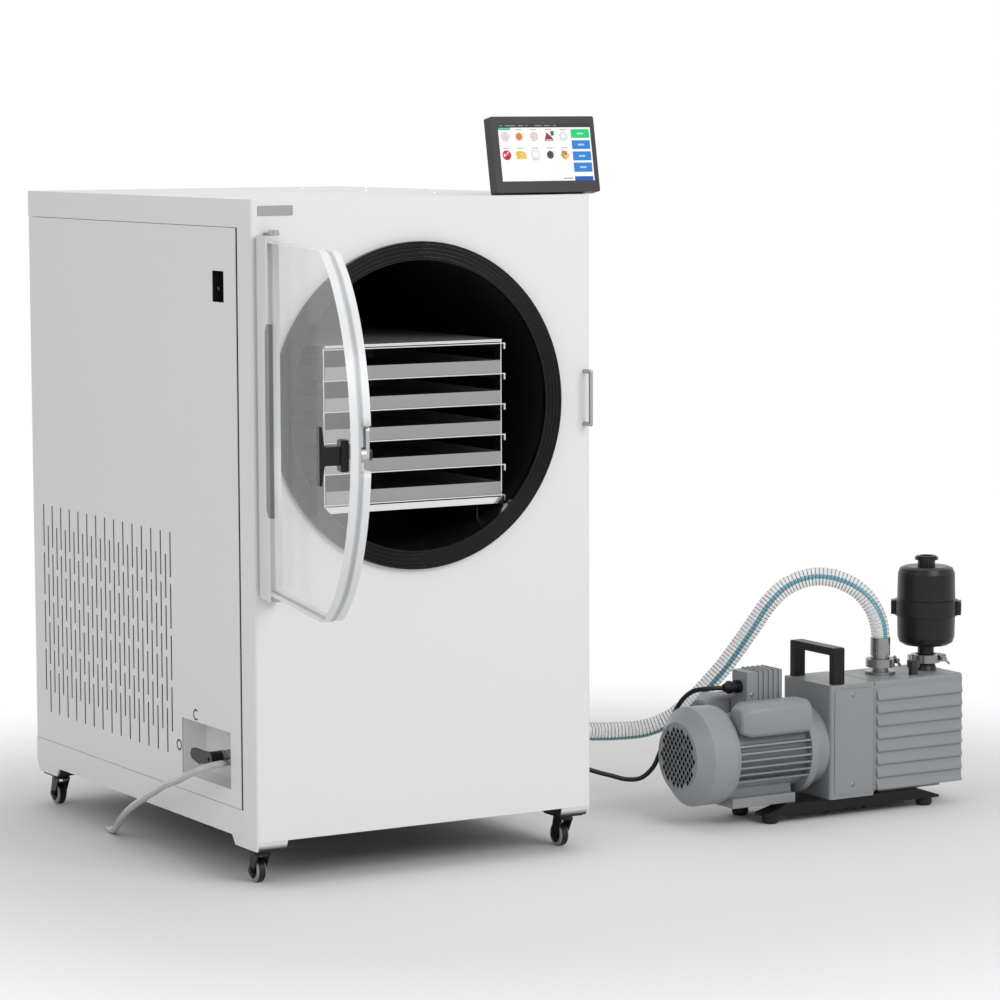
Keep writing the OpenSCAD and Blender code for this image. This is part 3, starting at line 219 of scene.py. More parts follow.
def new_group(name, inputs, outputs, kind="ShaderNodeTree"):
    """Node group with its named sockets, some of them with a value, and its input and output nodes."""
    group = bpy.data.node_groups.new(name, kind)
    for way, sockets in (("INPUT", inputs), ("OUTPUT", outputs)):
        for label, sort, *value in sockets:
            socket = group.interface.new_socket(label, in_out=way, socket_type="NodeSocket" + sort)
            if value:
                socket.default_value = value[0]
    return group, group.nodes.new("NodeGroupInput"), group.nodes.new("NodeGroupOutput")


def feed(tree, node, inputs):
    """Gives each named or numbered input of a node its value or its link."""
    for label, value in inputs.items():
        if isinstance(value, bpy.types.NodeSocket):
            tree.links.new(value, node.inputs[label])
        else:
            node.inputs[label].default_value = value


def add(tree, kind, inputs=None, **settings):
    node = tree.nodes.new(kind)
    for key, value in settings.items():
        setattr(node, key, value)
    feed(tree, node, inputs or {})
    return node


def math_node(tree, operation, a, b=0.0):
    return add(tree, "ShaderNodeMath", {0: a, 1: b}, operation=operation).outputs[0]


def vector_node(tree, operation, a, b=(0, 0, 0)):
    node = add(tree, "ShaderNodeVectorMath", {0: a, 1: b}, operation=operation)
    return node.outputs["Value" if operation in ("LENGTH", "DOT_PRODUCT") else "Vector"]


def scaled(tree, vector, scale):
    return add(tree, "ShaderNodeVectorMath", {0: vector, "Scale": scale}, operation="SCALE").outputs["Vector"]


def mixed(tree, share, a, b):
    """Colour a, and colour b instead by a share."""
    return add(tree, "ShaderNodeMix", {"Factor": share, "A": a, "B": b}, data_type="RGBA").outputs["Result"]


def noise(tree, place, scale, detail=2.0):
    return add(tree, "ShaderNodeTexNoise", {"Vector": place, "Scale": scale, "Detail": detail}).outputs["Fac"]


def relief(tree, height, distance, **more):
    return add(tree, "ShaderNodeBump", {"Height": height, "Distance": distance, **more}).outputs["Normal"]


def own_place(tree):
    """A point's place in the piece's own coordinates."""
    return add(tree, "ShaderNodeTexCoord").outputs["Object"]


def apart(tree, vector):
    """A vector as X, Y and Z."""
    return add(tree, "ShaderNodeSeparateXYZ", {0: vector}).outputs


def surface_group(name, inputs, pattern):
    """Group that turns a pattern into a darker shade, a swing of the roughness and a fine relief.

    The pattern gives where the shade is darker, which way the roughness swings, and the relief's
    height and depth.
    """
    g, i, o = new_group(name, inputs, [("Color", "Color"), ("Roughness", "Float"), ("Normal", "Vector")])
    given = i.outputs
    darker, uneven, height, depth = pattern(g, given)
    swing = math_node(g, "MULTIPLY", uneven, given["Roughness Spread"])
    feed(g, o, {"Color": mixed(g, darker, given["Color"], scaled(g, given["Color"], given["Shade"])),
                "Roughness": math_node(g, "ADD", given["Roughness"], swing),
                "Normal": relief(g, height, depth, Strength=given["Relief"])})
    return g


def grain_pattern(g, given):
    """Fine relief and a slow change of shade, as on paint, castings and moulded plastic."""
    place = own_place(g)
    fine = noise(g, place, math_node(g, "DIVIDE", 1.0, given["Grain Size"]), 3)
    broad = noise(g, place, math_node(g, "DIVIDE", 1.0, given["Patch Size"]))
    return broad, math_node(g, "SUBTRACT", math_node(g, "ADD", fine, broad), 1.0), fine, 0.0004


def brush_pattern(g, given):
    """Long fine scratches along one direction, as on rolled and brushed steel."""
    lines = noise(g, vector_node(g, "MULTIPLY", own_place(g), given["Stretch"]), 1)
    return lines, math_node(g, "SUBTRACT", lines, 0.5), lines, 0.0002


surface_grain = surface_group("surface_grain", [
    ("Color", "Color", (0.8, 0.8, 0.8, 1)), ("Shade", "Float", 0.95), ("Grain Size", "Float", 0.001),
    ("Patch Size", "Float", 0.2), ("Roughness", "Float", 0.4), ("Roughness Spread", "Float", 0.1),
    ("Relief", "Float", 0.1)], grain_pattern)
brushed_lines = surface_group("brushed_lines", [
    ("Color", "Color", (0.7, 0.7, 0.7, 1)), ("Shade", "Float", 0.85), ("Stretch", "Vector", (40, 900, 900)),
    ("Roughness", "Float", 0.25), ("Roughness Spread", "Float", 0.2), ("Relief", "Float", 0.1)],
    brush_pattern)


def fresh_tree(owner, kind):
    """Empty node tree of a material or a world, and the node that puts its surface out."""
    owner.use_nodes = True
    owner.node_tree.nodes.clear()
    return owner.node_tree, add(owner.node_tree, kind)


def base_material(name, metallic=0.0, coat=0.0, specular=0.5):
    material = bpy.data.materials.new(name)
    tree, out = fresh_tree(material, "ShaderNodeOutputMaterial")
    skin = add(tree, "ShaderNodeBsdfPrincipled", {
        "Metallic": metallic, "Coat Weight": coat, "Coat Roughness": 0.12, "IOR": 1.5,
        "Specular IOR Level": specular})
    feed(tree, out, {"Surface": skin.outputs["BSDF"]})
    return material, tree, skin


def use_group(tree, skin, group, color, values):
    node = add(tree, "ShaderNodeGroup", {"Color": (*color, 1), **values}, node_tree=group)
    feed(tree, skin, {"Base Color": node.outputs["Color"], "Roughness": node.outputs["Roughness"],
                      "Normal": node.outputs["Normal"]})
    return node


def lay_grain(tree, skin, color, shade, grain, patch, roughness, spread, bumps):
    return use_group(tree, skin, surface_grain, color, {
        "Shade": shade, "Grain Size": grain, "Patch Size": patch, "Roughness": roughness,
        "Roughness Spread": spread, "Relief": bumps})


def lay_brush(tree, skin, color, shade, stretch, roughness, spread, bumps):
    return use_group(tree, skin, brushed_lines, color, {
        "Shade": shade, "Stretch": stretch, "Roughness": roughness, "Roughness Spread": spread,
        "Relief": bumps})


def grained(name, color, roughness, bumps=0.1, grain=0.001, patch=0.2, shade=0.94, spread=0.08, **more):
    material, tree, skin = base_material(name, **more)
    lay_grain(tree, skin, color, shade, grain, patch, roughness, spread, bumps)
    return material


def brushed(name, color, roughness, stretch, bumps=0.08, shade=0.85, spread=0.2, **more):
    material, tree, skin = base_material(name, metallic=1.0, **more)
    lay_brush(tree, skin, color, shade, stretch, roughness, spread, bumps)
    return material


def inside_group():
    """Mask that is 0 on the cabinet's four side faces and 1 from a given depth behind them."""
    low, high = corner, Vector((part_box("right_panel")[1].x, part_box("rear_panel")[1].y, 0))
    g, i, o = new_group("depth_in_cabinet", [("Start", "Float", 0.0007), ("End", "Float", 0.0014)],
                        [("Inside", "Float")])
    offset = vector_node(g, "SUBTRACT", own_place(g), (low + high) / 2)
    depth = apart(g, vector_node(g, "SUBTRACT", (high - low) / 2, vector_node(g, "ABSOLUTE", offset)))
    fade = add(g, "ShaderNodeMapRange", {
        "Value": math_node(g, "MINIMUM", depth["X"], depth["Y"]), "From Min": i.outputs["Start"],
        "From Max": i.outputs["End"]})
    feed(g, o, {"Inside": fade.outputs["Result"]})
    return g


depth_in_cabinet = inside_group()


def axis_distance(tree, centre):
    """Distance from the line along X through a centre."""
    offset = vector_node(tree, "SUBTRACT", own_place(tree), centre)
    return vector_node(tree, "LENGTH", vector_node(tree, "MULTIPLY", offset, (0, 1, 1)))


def reach_along(tree, start, way):
    """How far a point lies from a start along a direction."""
    return vector_node(tree, "DOT_PRODUCT", vector_node(tree, "SUBTRACT", own_place(tree), start), way)


def paint_where(tree, skin, base, mask, color):
    """Lays a colour over a surface group's own where a mask is 1."""
    feed(tree, skin, {"Base Color": mixed(tree, mask, base.outputs["Color"], (*color, 1))})


# A look is a shade, a grain and patch size, a roughness and its spread, and the bumps.
POWDER = (0.79, 0.79, 0.80)
POWDER_LOOK = (0.985, 0.0016, 0.5, 0.42, 0.05, 0.06)
ENAMEL = (0.27, 0.285, 0.295)
ENAMEL_LOOK = (0.93, 0.0017, 0.06, 0.40, 0.1, 0.3)
RACK_STEEL = (0.78, 0.79, 0.80)
# Near black: the colour of black parts, and painted shade inside the cabinet's sheets, inside the fan cover
# and on the rack's lowest runners.
PAINTED_SHADE_AND_BLACK = (0.012, 0.012, 0.013)
PLASTIC_DARK = (0.009, 0.009, 0.0095)

# Heights of the lowest shelf, under which the rack's runners carry painted shade, the rack's top plate, the
# breaker's recess and the pump's top, in metres.
RACK_LOW, RACK_TOP = 0.569, 0.8275
BREAKER_LOW = 0.6
PUMP_TOP = 0.2275

# The fan cover is painted dark as shade behind its wall, within a cone that widens from the nose to the bore.
FAN_WALL, FAN_NOSE, FAN_BORE, FAN_SLOPE = 0.0012, 0.0574, 0.082, 1.146
PLATE_DULL = 0.55
HUB_RING, HUB_RING_HALF = 0.0158, 0.0028


def shaded_sheet_paint(name, start, end):
    """White powder coat on folded sheet, with painted shade: it turns dark behind the cabinet's side faces,
    so that the inside and the vents read as shaded.
    """
    material, tree, skin = base_material(name)
    paint = lay_grain(tree, skin, POWDER, *POWDER_LOOK)
    inside = add(tree, "ShaderNodeGroup", {"Start": start, "End": end}, node_tree=depth_in_cabinet)
    # Painted shade: near black on the sheet behind the side faces.
    paint_where(tree, skin, paint, inside.outputs["Inside"], PAINTED_SHADE_AND_BLACK)
    return material


def painted(name, color, look, top=None):
    """Grained paint, dark above a top if one is given."""
    material, tree, skin = base_material(name)
    paint = lay_grain(tree, skin, color, *look)
    if top:
        above = math_node(tree, "GREATER_THAN", apart(tree, own_place(tree))["Z"], top)
        paint_where(tree, skin, paint, above, PAINTED_SHADE_AND_BLACK)
    return material


def shaded_fan_cover_paint():
    """Grey enamel outside, with painted shade: dark inside the cover and in the openings of its grille."""
    low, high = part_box("fan_cover")
    material, tree, skin = base_material("grey_cover_enamel_shaded_inside")
    paint = lay_grain(tree, skin, (0.29, 0.305, 0.315), 0.94, 0.0015, 0.08, 0.38, 0.08, 0.2)
    reach = axis_distance(tree, (low + high) / 2)
    deep = math_node(tree, "SUBTRACT", apart(tree, own_place(tree))["X"], low.x)
    cone = math_node(tree, "ADD", math_node(tree, "MULTIPLY", deep, FAN_SLOPE), FAN_NOSE)
    within = math_node(tree, "LESS_THAN", reach, math_node(tree, "MINIMUM", cone, FAN_BORE))
    behind = math_node(tree, "GREATER_THAN", deep, FAN_WALL)
    inside = math_node(tree, "MULTIPLY", within, behind)
    # Painted shade: near black inside the cover.
    paint_where(tree, skin, paint, inside, PAINTED_SHADE_AND_BLACK)
    return material


def rack_material():
    """Polished rack, duller on its top plate, with painted shade: dark on the runners under the lowest shelf.
    """
    material, tree, skin = base_material("polished_rack_frame_shaded_runners")
    steel = lay_brush(tree, skin, RACK_STEEL, 0.88, (20, 1400, 1400), 0.16, 0.1, 0.03)
    height = apart(tree, own_place(tree))["Z"]
    under = math_node(tree, "LESS_THAN", height, RACK_LOW)
    plate = math_node(tree, "GREATER_THAN", height, RACK_TOP)
    shine = math_node(tree, "SUBTRACT", 1.0, math_node(tree, "MULTIPLY", plate, PLATE_DULL))
    # Painted shade under the lowest shelf: there the rack is neither metallic nor bright.
    feed(tree, skin, {"Metallic": math_node(tree, "SUBTRACT", shine, under)})
    paint_where(tree, skin, steel, under, PAINTED_SHADE_AND_BLACK)
    return material


def band(tree, value, middle, half):
    """1 where a value lies within half a band's width of the band's middle."""
    away = math_node(tree, "ABSOLUTE", math_node(tree, "SUBTRACT", value, middle))
    return math_node(tree, "LESS_THAN", away, half)


def wheel_material(corner_name):
    """Black tyre with a grey ring on the hub, between the tyre and the axle."""
    low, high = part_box("caster_wheel_" + corner_name)
    material, tree, skin = base_material("caster_wheel_rubber_" + corner_name, specular=0.25)
    rubber = lay_grain(tree, skin, (0.018, 0.018, 0.019), 0.75, 0.0007, 0.02, 0.42, 0.1, 0.12)
    ring = band(tree, axis_distance(tree, (low + high) / 2), HUB_RING, HUB_RING_HALF)
    paint_where(tree, skin, rubber, ring, (0.30, 0.30, 0.31))
    return material


def black(name, color, roughness, bumps, grain, patch, specular, shade=0.75):
    """Black plastic, rubber or paint."""
    return grained(name, color, roughness, bumps, grain, patch, shade, specular=specular)


def give_finish(piece, finish):
    piece.data.materials.clear()
    piece.data.materials.append(finish)


def finish_nodes(finish, *names):
    for name in names:
        give_finish(nodes[name], finish)
    return finish


def finish_piece(piece, material, body, slot, *replaced):
    if material is not None:
        give_finish(piece, material)
    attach(piece, body)
    if replaced:
        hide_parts(*replaced)
    return piece


finish_nodes(painted("white_powder_coat", POWDER, POWDER_LOOK), "front_panel", "top_cover", "service_lid")
# The side, rear and base sheets carry painted shade on their insides.
finish_nodes(shaded_sheet_paint("white_sheet_powder_coat_shaded_inside", 0.0007, 0.0014),
             "left_panel", "right_panel", "rear_panel")
finish_nodes(shaded_sheet_paint("white_pan_powder_coat_shaded_inside", 0.003, 0.006), "base_pan")
finish_nodes(painted("recess_powder_coat", POWDER, POWDER_LOOK, BREAKER_LOW), "recess_boxes")
# The mid deck is painted near black as shade inside the cabinet, so that it reads dark behind the vents.
finish_nodes(grained("inner_sheet_painted_shade", (0.02, 0.02, 0.021), 0.5, patch=0.1, shade=0.8), "mid_deck")
finish_nodes(rack_material(), "rack_frame")
finish_nodes(brushed("polished_rack_steel", RACK_STEEL, 0.14, (20, 1400, 1400), bumps=0.03, shade=0.88,
                     spread=0.1), "shelves", "panel_screws")
finish_nodes(brushed("bright_strike_steel", (0.43, 0.435, 0.44), 0.22, (500, 500, 60), bumps=0.05),
             "strike", "drain_valve")
finish_nodes(brushed("satin_steel", (0.42, 0.425, 0.43), 0.3, (500, 500, 60), bumps=0.06),
             "hinge_brackets", "vacuum_pipe")
finish_nodes(brushed("anodised_hinge_bar", (0.58, 0.585, 0.59), 0.36, (900, 900, 12), bumps=0.04,
                     shade=0.93), "door_bar")
# The condenser's fins are darkened as painted shade, so that they read black behind the vents.
finish_nodes(brushed("fin_metal_darkened_as_shade", (0.10, 0.102, 0.105), 0.4, (60, 60, 900)), "condenser")
finish_nodes(grained("grey_tray_metal", (0.33, 0.33, 0.335), 0.42, bumps=0.05, grain=0.0008, patch=0.1,
                     shade=0.9, metallic=0.2), "trays")
finish_nodes(grained("cast_clamp_steel", (0.33, 0.33, 0.325), 0.28, bumps=0.25, grain=0.0022, patch=0.02,
                     shade=0.7, spread=0.2, metallic=1.0), "inlet_adapter", "kf_clamps")
finish_nodes(grained("dark_door_strip", (0.15, 0.152, 0.155), 0.35, bumps=0.06, patch=0.05, shade=0.85),
             "door_clamp")
finish_nodes(grained("charcoal_display_case", (0.038, 0.039, 0.041), 0.42, bumps=0.12, grain=0.0008,
                     patch=0.08, shade=0.8, specular=0.3),
             "display_housing", "display_bracket", "display_glass")
# The chamber and the compressor are near black.
finish_nodes(black("near_black_chamber_and_compressor", PAINTED_SHADE_AND_BLACK, 0.30, 0.04, 0.002, 0.15, 0.5, shade=0.7),
             "chamber", "compressor")
finish_nodes(black("black_gasket_rubber", (0.006, 0.006, 0.0065), 0.2, 0.04, 0.0008, 0.06, 0.2),
             "door_gasket")
finish_nodes(black("black_foot_rubber", (0.018, 0.018, 0.019), 0.45, 0.12, 0.0008, 0.04, 0.25), "pump_feet")
finish_nodes(black("black_lever_grip", (0.010, 0.010, 0.011), 0.3, 0.15, 0.0009, 0.02, 0.3), "valve_lever")
finish_nodes(black("black_filter_plastic", PLASTIC_DARK, 0.3, 0.15, 0.0012, 0.05, 0.3), "exhaust_filter")
finish_nodes(black("black_base_paint", (0.010, 0.010, 0.011), 0.34, 0.15, 0.001, 0.05, 0.25), "pump_base")
plastic_black = finish_nodes(
    black("black_moulded_plastic", PLASTIC_DARK, 0.34, 0.2, 0.0009, 0.03, 0.22),
    "breaker", "breaker_toggle", "condenser_fan", "motor_fan", "cable_gland", "pump_handle")
caster_black = finish_nodes(black("black_caster_paint", PAINTED_SHADE_AND_BLACK, 0.28, 0.12, 0.001, 0.02, 0.3),
                            "caster_plates")
for corner_name in ("fl", "fr", "rl", "rr"):
    finish_nodes(caster_black, "caster_fork_" + corner_name)
    finish_nodes(wheel_material(corner_name), "caster_wheel_" + corner_name)
pump_paint = finish_nodes(painted("grey_pump_enamel", ENAMEL, ENAMEL_LOOK),
                          "motor_housing", "terminal_box", "pump_block")
finish_nodes(painted("oil_case_enamel", ENAMEL, ENAMEL_LOOK, PUMP_TOP), "oil_case")


# ---- Door: clear plate, frosted edge and latch ----

DOOR_OPEN = math.radians(103.5)
HINGE = at(30, -16, 0)
DOOR_INNER = -0.006
DOOR_THICK = 0.030
LATCH_ALONG = 0.526
LATCH_Z = 0.716
FACE_FLATNESS, FACE_NEARNESS = 5e-5, 5e-4
ACRYLIC_IOR = 1.49

# Where the seam starts and ends in shares of the thickness, its greys between, and how it wavers.
SEAM_ENDS = (0.30, 0.66)
SEAM_SHADES = ((0.36, 0.55), (0.46, 0.95), (0.49, 0.6), (0.55, 0.8))
SEAM_WAVE, WAVES_PER_METRE = 0.10, 14
NUT_FACE, NUT_TEETH, TOOTH_DEPTH = -0.0001, 44, 0.0006
door_along = Vector((math.cos(DOOR_OPEN), -math.sin(DOOR_OPEN), 0))
door_outward = Vector((-math.sin(DOOR_OPEN), -math.cos(DOOR_OPEN), 0))


def past_inner_face(tree):
    """How far a point lies outward from the door's inner face."""
    return reach_along(tree, HINGE + door_outward * DOOR_INNER, door_outward)


def acrylic_material():
    """Clear acrylic sheet with a pale film, partly milky and partly a painted reflection of the white room,
    stronger where the sheet is seen at a slant.
    """
    material, tree, skin = base_material("clear_acrylic", coat=0.6)
    lay_grain(tree, skin, (0.74, 0.755, 0.765), 0.96, 0.004, 0.15, 0.08, 0.04, 0.01)
    slant = add(tree, "ShaderNodeFresnel", {"IOR": ACRYLIC_IOR})
    # Pale film whose share follows Fresnel: partly milkiness, partly painted reflection of the white room.
    milk_and_painted_reflection = add(tree, "ShaderNodeMapRange", {
        "Value": slant.outputs[0], "From Min": 0.04, "From Max": 0.25, "To Min": 0.06, "To Max": 0.19})
    feed(tree, skin, {"Alpha": milk_and_painted_reflection.outputs["Result"]})
    return material


def edge_material():
    """Frosted edge of the two bonded layers, with the grey seam between them."""
    material, tree, skin = base_material("frosted_door_edge", coat=0.25)
    white = lay_grain(tree, skin, (0.80, 0.81, 0.82), 0.93, 0.0012, 0.05, 0.3, 0.12, 0.12)
    wave = math_node(tree, "SUBTRACT", noise(tree, own_place(tree), WAVES_PER_METRE), 0.5)
    shift = math_node(tree, "MULTIPLY", wave, SEAM_WAVE)
    depth = math_node(tree, "DIVIDE", past_inner_face(tree), DOOR_THICK)
    seam = add(tree, "ShaderNodeValToRGB", {"Fac": math_node(tree, "ADD", depth, shift)})
    stops = seam.color_ramp.elements
    for stop, position in zip(stops, SEAM_ENDS):
        stop.position = position
        stop.color = (0, 0, 0, 1)
    for position, value in SEAM_SHADES:
        stops.new(position).color = (value, value, value, 1)
    paint_where(tree, skin, white, seam.outputs["Color"], (0.36, 0.37, 0.38))
    return material


def fill_mesh(mesh, shape, sharp):
    """Puts a shape into a mesh, smooth but at edges sharper than an angle in degrees."""
    for face in shape.faces:
        face.smooth = True
    shape.to_mesh(mesh)
    shape.free()
    mesh.set_sharp_from_angle(angle=math.radians(sharp))


def make_door():
    """The acrylic plate with its two faces clear and everything else frosted."""
    mesh = nodes["door_plate"].data.copy()
    mesh.name = "clear_door"
    shape = bmesh.new()
    shape.from_mesh(mesh)
    bmesh.ops.remove_doubles(shape, verts=shape.verts, dist=1e-6)
    fill_mesh(mesh, shape, 35)
    mesh.materials.clear()
    mesh.materials.append(acrylic_material())
    mesh.materials.append(edge_material())
    for polygon in mesh.polygons:
        outs = [(mesh.vertices[i].co - HINGE).dot(door_outward) for i in polygon.vertices]
        flat = max(outs) - min(outs) < FACE_FLATNESS
        at_face = min(abs(outs[0] - DOOR_INNER), abs(outs[0] - DOOR_INNER - DOOR_THICK)) < FACE_NEARNESS
        polygon.material_index = 0 if flat and at_face else 1
        polygon.use_smooth = not flat
    return add_object("clear_door", mesh)


def latch_material():
    """Bright shaft and cam, and a dark knurled nut at the inner end."""
    material, tree, skin = base_material("latch_steel", metallic=1.0)
    steel = lay_brush(tree, skin, (0.55, 0.555, 0.56), 0.8, (500, 500, 500), 0.22, 0.15, 0.05)
    nut = math_node(tree, "LESS_THAN", past_inner_face(tree), NUT_FACE)
    paint_where(tree, skin, steel, nut, (0.07, 0.07, 0.073))
    centre = HINGE + door_along * LATCH_ALONG + Vector((0, 0, LATCH_Z))
    up, along = reach_along(tree, centre, (0, 0, 1)), reach_along(tree, centre, door_along)
    turn = math_node(tree, "ARCTAN2", up, along)
    teeth = math_node(tree, "SINE", math_node(tree, "MULTIPLY", turn, NUT_TEETH))
    teeth = math_node(tree, "MULTIPLY", teeth, nut)
    feed(tree, skin, {"Normal": relief(tree, teeth, TOOTH_DEPTH, Normal=steel.outputs["Normal"])})
    return material


def door_at(along, outward, up):
    """Place on the door, in millimetres along it, outward from the hinge line and up from the latch."""
    place = door_along * along + door_outward * outward + Vector((0, 0, up))
    return HINGE + place / 1000 + Vector((0, 0, LATCH_Z))


def prism(name, profile, start, width, bevel):
    """Outline of (outward, up) points, drawn along the door from a start and bevelled."""
    shape = bmesh.new()
    base = shape.faces.new([shape.verts.new(door_at(start, outward, up)) for outward, up in profile])
    raise_face(shape, base, door_at(start + width, 0, 0) - door_at(start, 0, 0))
    bmesh.ops.recalc_face_normals(shape, faces=shape.faces)
    bmesh.ops.bevel(shape, geom=shape.edges[:], offset=bevel, segments=2, affect="EDGES")
    mesh = bpy.data.meshes.new(name)
    fill_mesh(mesh, shape, 50)
    return add_object(name, mesh)


HANDLE_START, HANDLE_WIDTH, HANDLE_BEVEL = 517, 18, 0.0009
HANDLE_PROFILE = [(35.9, -13), (57.7, -13), (61.2, -41), (65.2, -41), (65.2, 41), (61.2, 41), (57.7, 13),
                  (35.9, 13)]
BLOCK_START, BLOCK_WIDTH, BLOCK_BEVEL = 514, 24, 0.0012
BLOCK_PROFILE = [(24.2, -22), (35.7, -22), (35.7, 22), (24.2, 22)]
finish_piece(make_door(), None, "door", "acrylic", "door_plate")
latch_handle = prism("slim_latch_handle", HANDLE_PROFILE, HANDLE_START, HANDLE_WIDTH, HANDLE_BEVEL)
latch_block = prism("slim_latch_block", BLOCK_PROFILE, BLOCK_START, BLOCK_WIDTH, BLOCK_BEVEL)
finish_piece(latch_handle, plastic_black, "latch", "dark_plastic", "latch_handle")
finish_piece(latch_block, plastic_black, "door", "dark_plastic", "latch_block")
give_finish(nodes["latch_cam"], latch_material())


# ---- Capacitor covers ----

# Outline (across, up) from the motor's line, and the shares that it shrinks to at runs along the motor.
COVER_PROFILE = [(-85, 46), (-85, 77), (-81.5, 86), (-72, 92), (-40, 92), (-34, 89), (-32, 83), (-32, 58.5),
                 (-40, 53.3), (-48, 46.3), (-56, 36.5), (-77, 36.5), (-83, 39.5)]
COVER_STEPS = ((0, 0.70), (17, 1.0), (129, 1.0), (137, 0.88))
COVER_START, COVER_BEVEL = 896, 0.0018
COVER_MIDDLE = (-50, 55)
MOTOR_Y, MOTOR_Z = 76, 118


def cover_place(side, run, share, y, z):
    """Place on a cover's outline, which a share shrinks toward its middle, at a run along the motor."""
    across = COVER_MIDDLE[0] + (y - COVER_MIDDLE[0]) * share
    up = COVER_MIDDLE[1] + (z - COVER_MIDDLE[1]) * share
    return at(COVER_START + run, MOTOR_Y + side * across, MOTOR_Z + up)


def make_covers():
    """One cover on each side of the motor, rounded in front and sloped at its ends."""
    shape = bmesh.new()
    for side in (1, -1):
        rings = [[shape.verts.new(cover_place(side, run, share, y, z)) for y, z in COVER_PROFILE]
                 for run, share in COVER_STEPS]
        for first, second in zip(rings, rings[1:]):
            for k in range(len(first)):
                n = (k + 1) % len(first)
                shape.faces.new((first[k], first[n], second[n], second[k]))
        shape.faces.new(rings[0])
        shape.faces.new(rings[-1])
    bmesh.ops.recalc_face_normals(shape, faces=shape.faces)
    sharp = [e for e in shape.edges if e.calc_face_angle(0) > math.radians(15)]
    bmesh.ops.bevel(shape, geom=sharp, offset=COVER_BEVEL, segments=2, affect="EDGES")
    mesh = bpy.data.meshes.new("sloped_capacitor_covers")
    fill_mesh(mesh, shape, 40)
    return add_object("sloped_capacitor_covers", mesh)


# ---- Fan cover with wide openings ----

# Steps between the openings, and the radii that their middles and their corners lie between. All but
# the depth, which is in metres, is in millimetres.
GRILLE_STEP = (6, 7.5)
GRILLE_MIDDLES = (9, 50)
GRILLE_CORNERS = (5.5, 57)
GRILLE_DEPTH = 0.0021
GRILLE_WIDER = 1.3


def in_ring(radii, y, z):
    return radii[0] < math.hypot(y, z) < radii[1]


def make_fan_cover():
    """The fan cover with each diamond opening of its grille widened about its middle."""
    mesh = nodes["fan_cover"].data.copy()
    mesh.name = "wide_grille_fan_cover"
    low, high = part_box("fan_cover")
    middle = (low + high) / 2
    centres = []
    for i in range(-8, 9):
        for k in range(-7, 8):
            y, z = i * GRILLE_STEP[0], k * GRILLE_STEP[1]
            if (i + k) % 2 == 0 and in_ring(GRILLE_MIDDLES, y, z):
                centres.append((y, z))
    for vertex in mesh.vertices:
        y, z = (vertex.co.y - middle.y) * 1000, (vertex.co.z - middle.z) * 1000
        if vertex.co.x > low.x + GRILLE_DEPTH or not in_ring(GRILLE_CORNERS, y, z):
            continue
        cy, cz = min(centres, key=lambda c: math.hypot(c[0] - y, c[1] - z))
        vertex.co.y = middle.y + (cy + (y - cy) * GRILLE_WIDER) / 1000
        vertex.co.z = middle.z + (cz + (z - cz) * GRILLE_WIDER) / 1000
    return add_object("wide_grille_fan_cover", mesh)


finish_piece(make_fan_cover(), shaded_fan_cover_paint(), "cabinet", "pump_paint", "fan_cover")
finish_piece(make_covers(), pump_paint, "cabinet", "pump_paint", "capacitor_covers")


# ---- Display ----

SCREEN_WIDE = 169.5
SCREEN_HIGH = 91.5
DISPLAY_TILT = math.radians(10.5)
DISPLAY_CORNER = (431, 2, 1056.2)
DISPLAY_BACK = 20
SCREEN_CORNER = (12.5, 18)
SCREEN_DEPTH, LAYER_STEP = 0.17, 0.004
UNLIT_SHADE, SCREEN_GLOW = 0.12, 0.86
GOLDEN_TURN = 2.39996
DOTS_TALL, PETALS_TALL = 1.8, 1.85


def display_at(across, depth, up):
    """Place on the tilted display, in millimetres from the lower left corner of its housing's face."""
    lean, rise = math.sin(DISPLAY_TILT), math.cos(DISPLAY_TILT)
    return at(DISPLAY_CORNER[0] + across, DISPLAY_CORNER[1] + depth * rise + up * lean,
              DISPLAY_CORNER[2] + DISPLAY_BACK * lean - depth * lean + up * rise)


def tone(color):
    """Linear colour of a screen colour whose parts run from 0 to 255."""
    shares = [part / 255 for part in color]
    return (*(s / 12.92 if s < 0.0405 else ((s + 0.055) / 1.055) ** 2.4 for s in shares), 1)


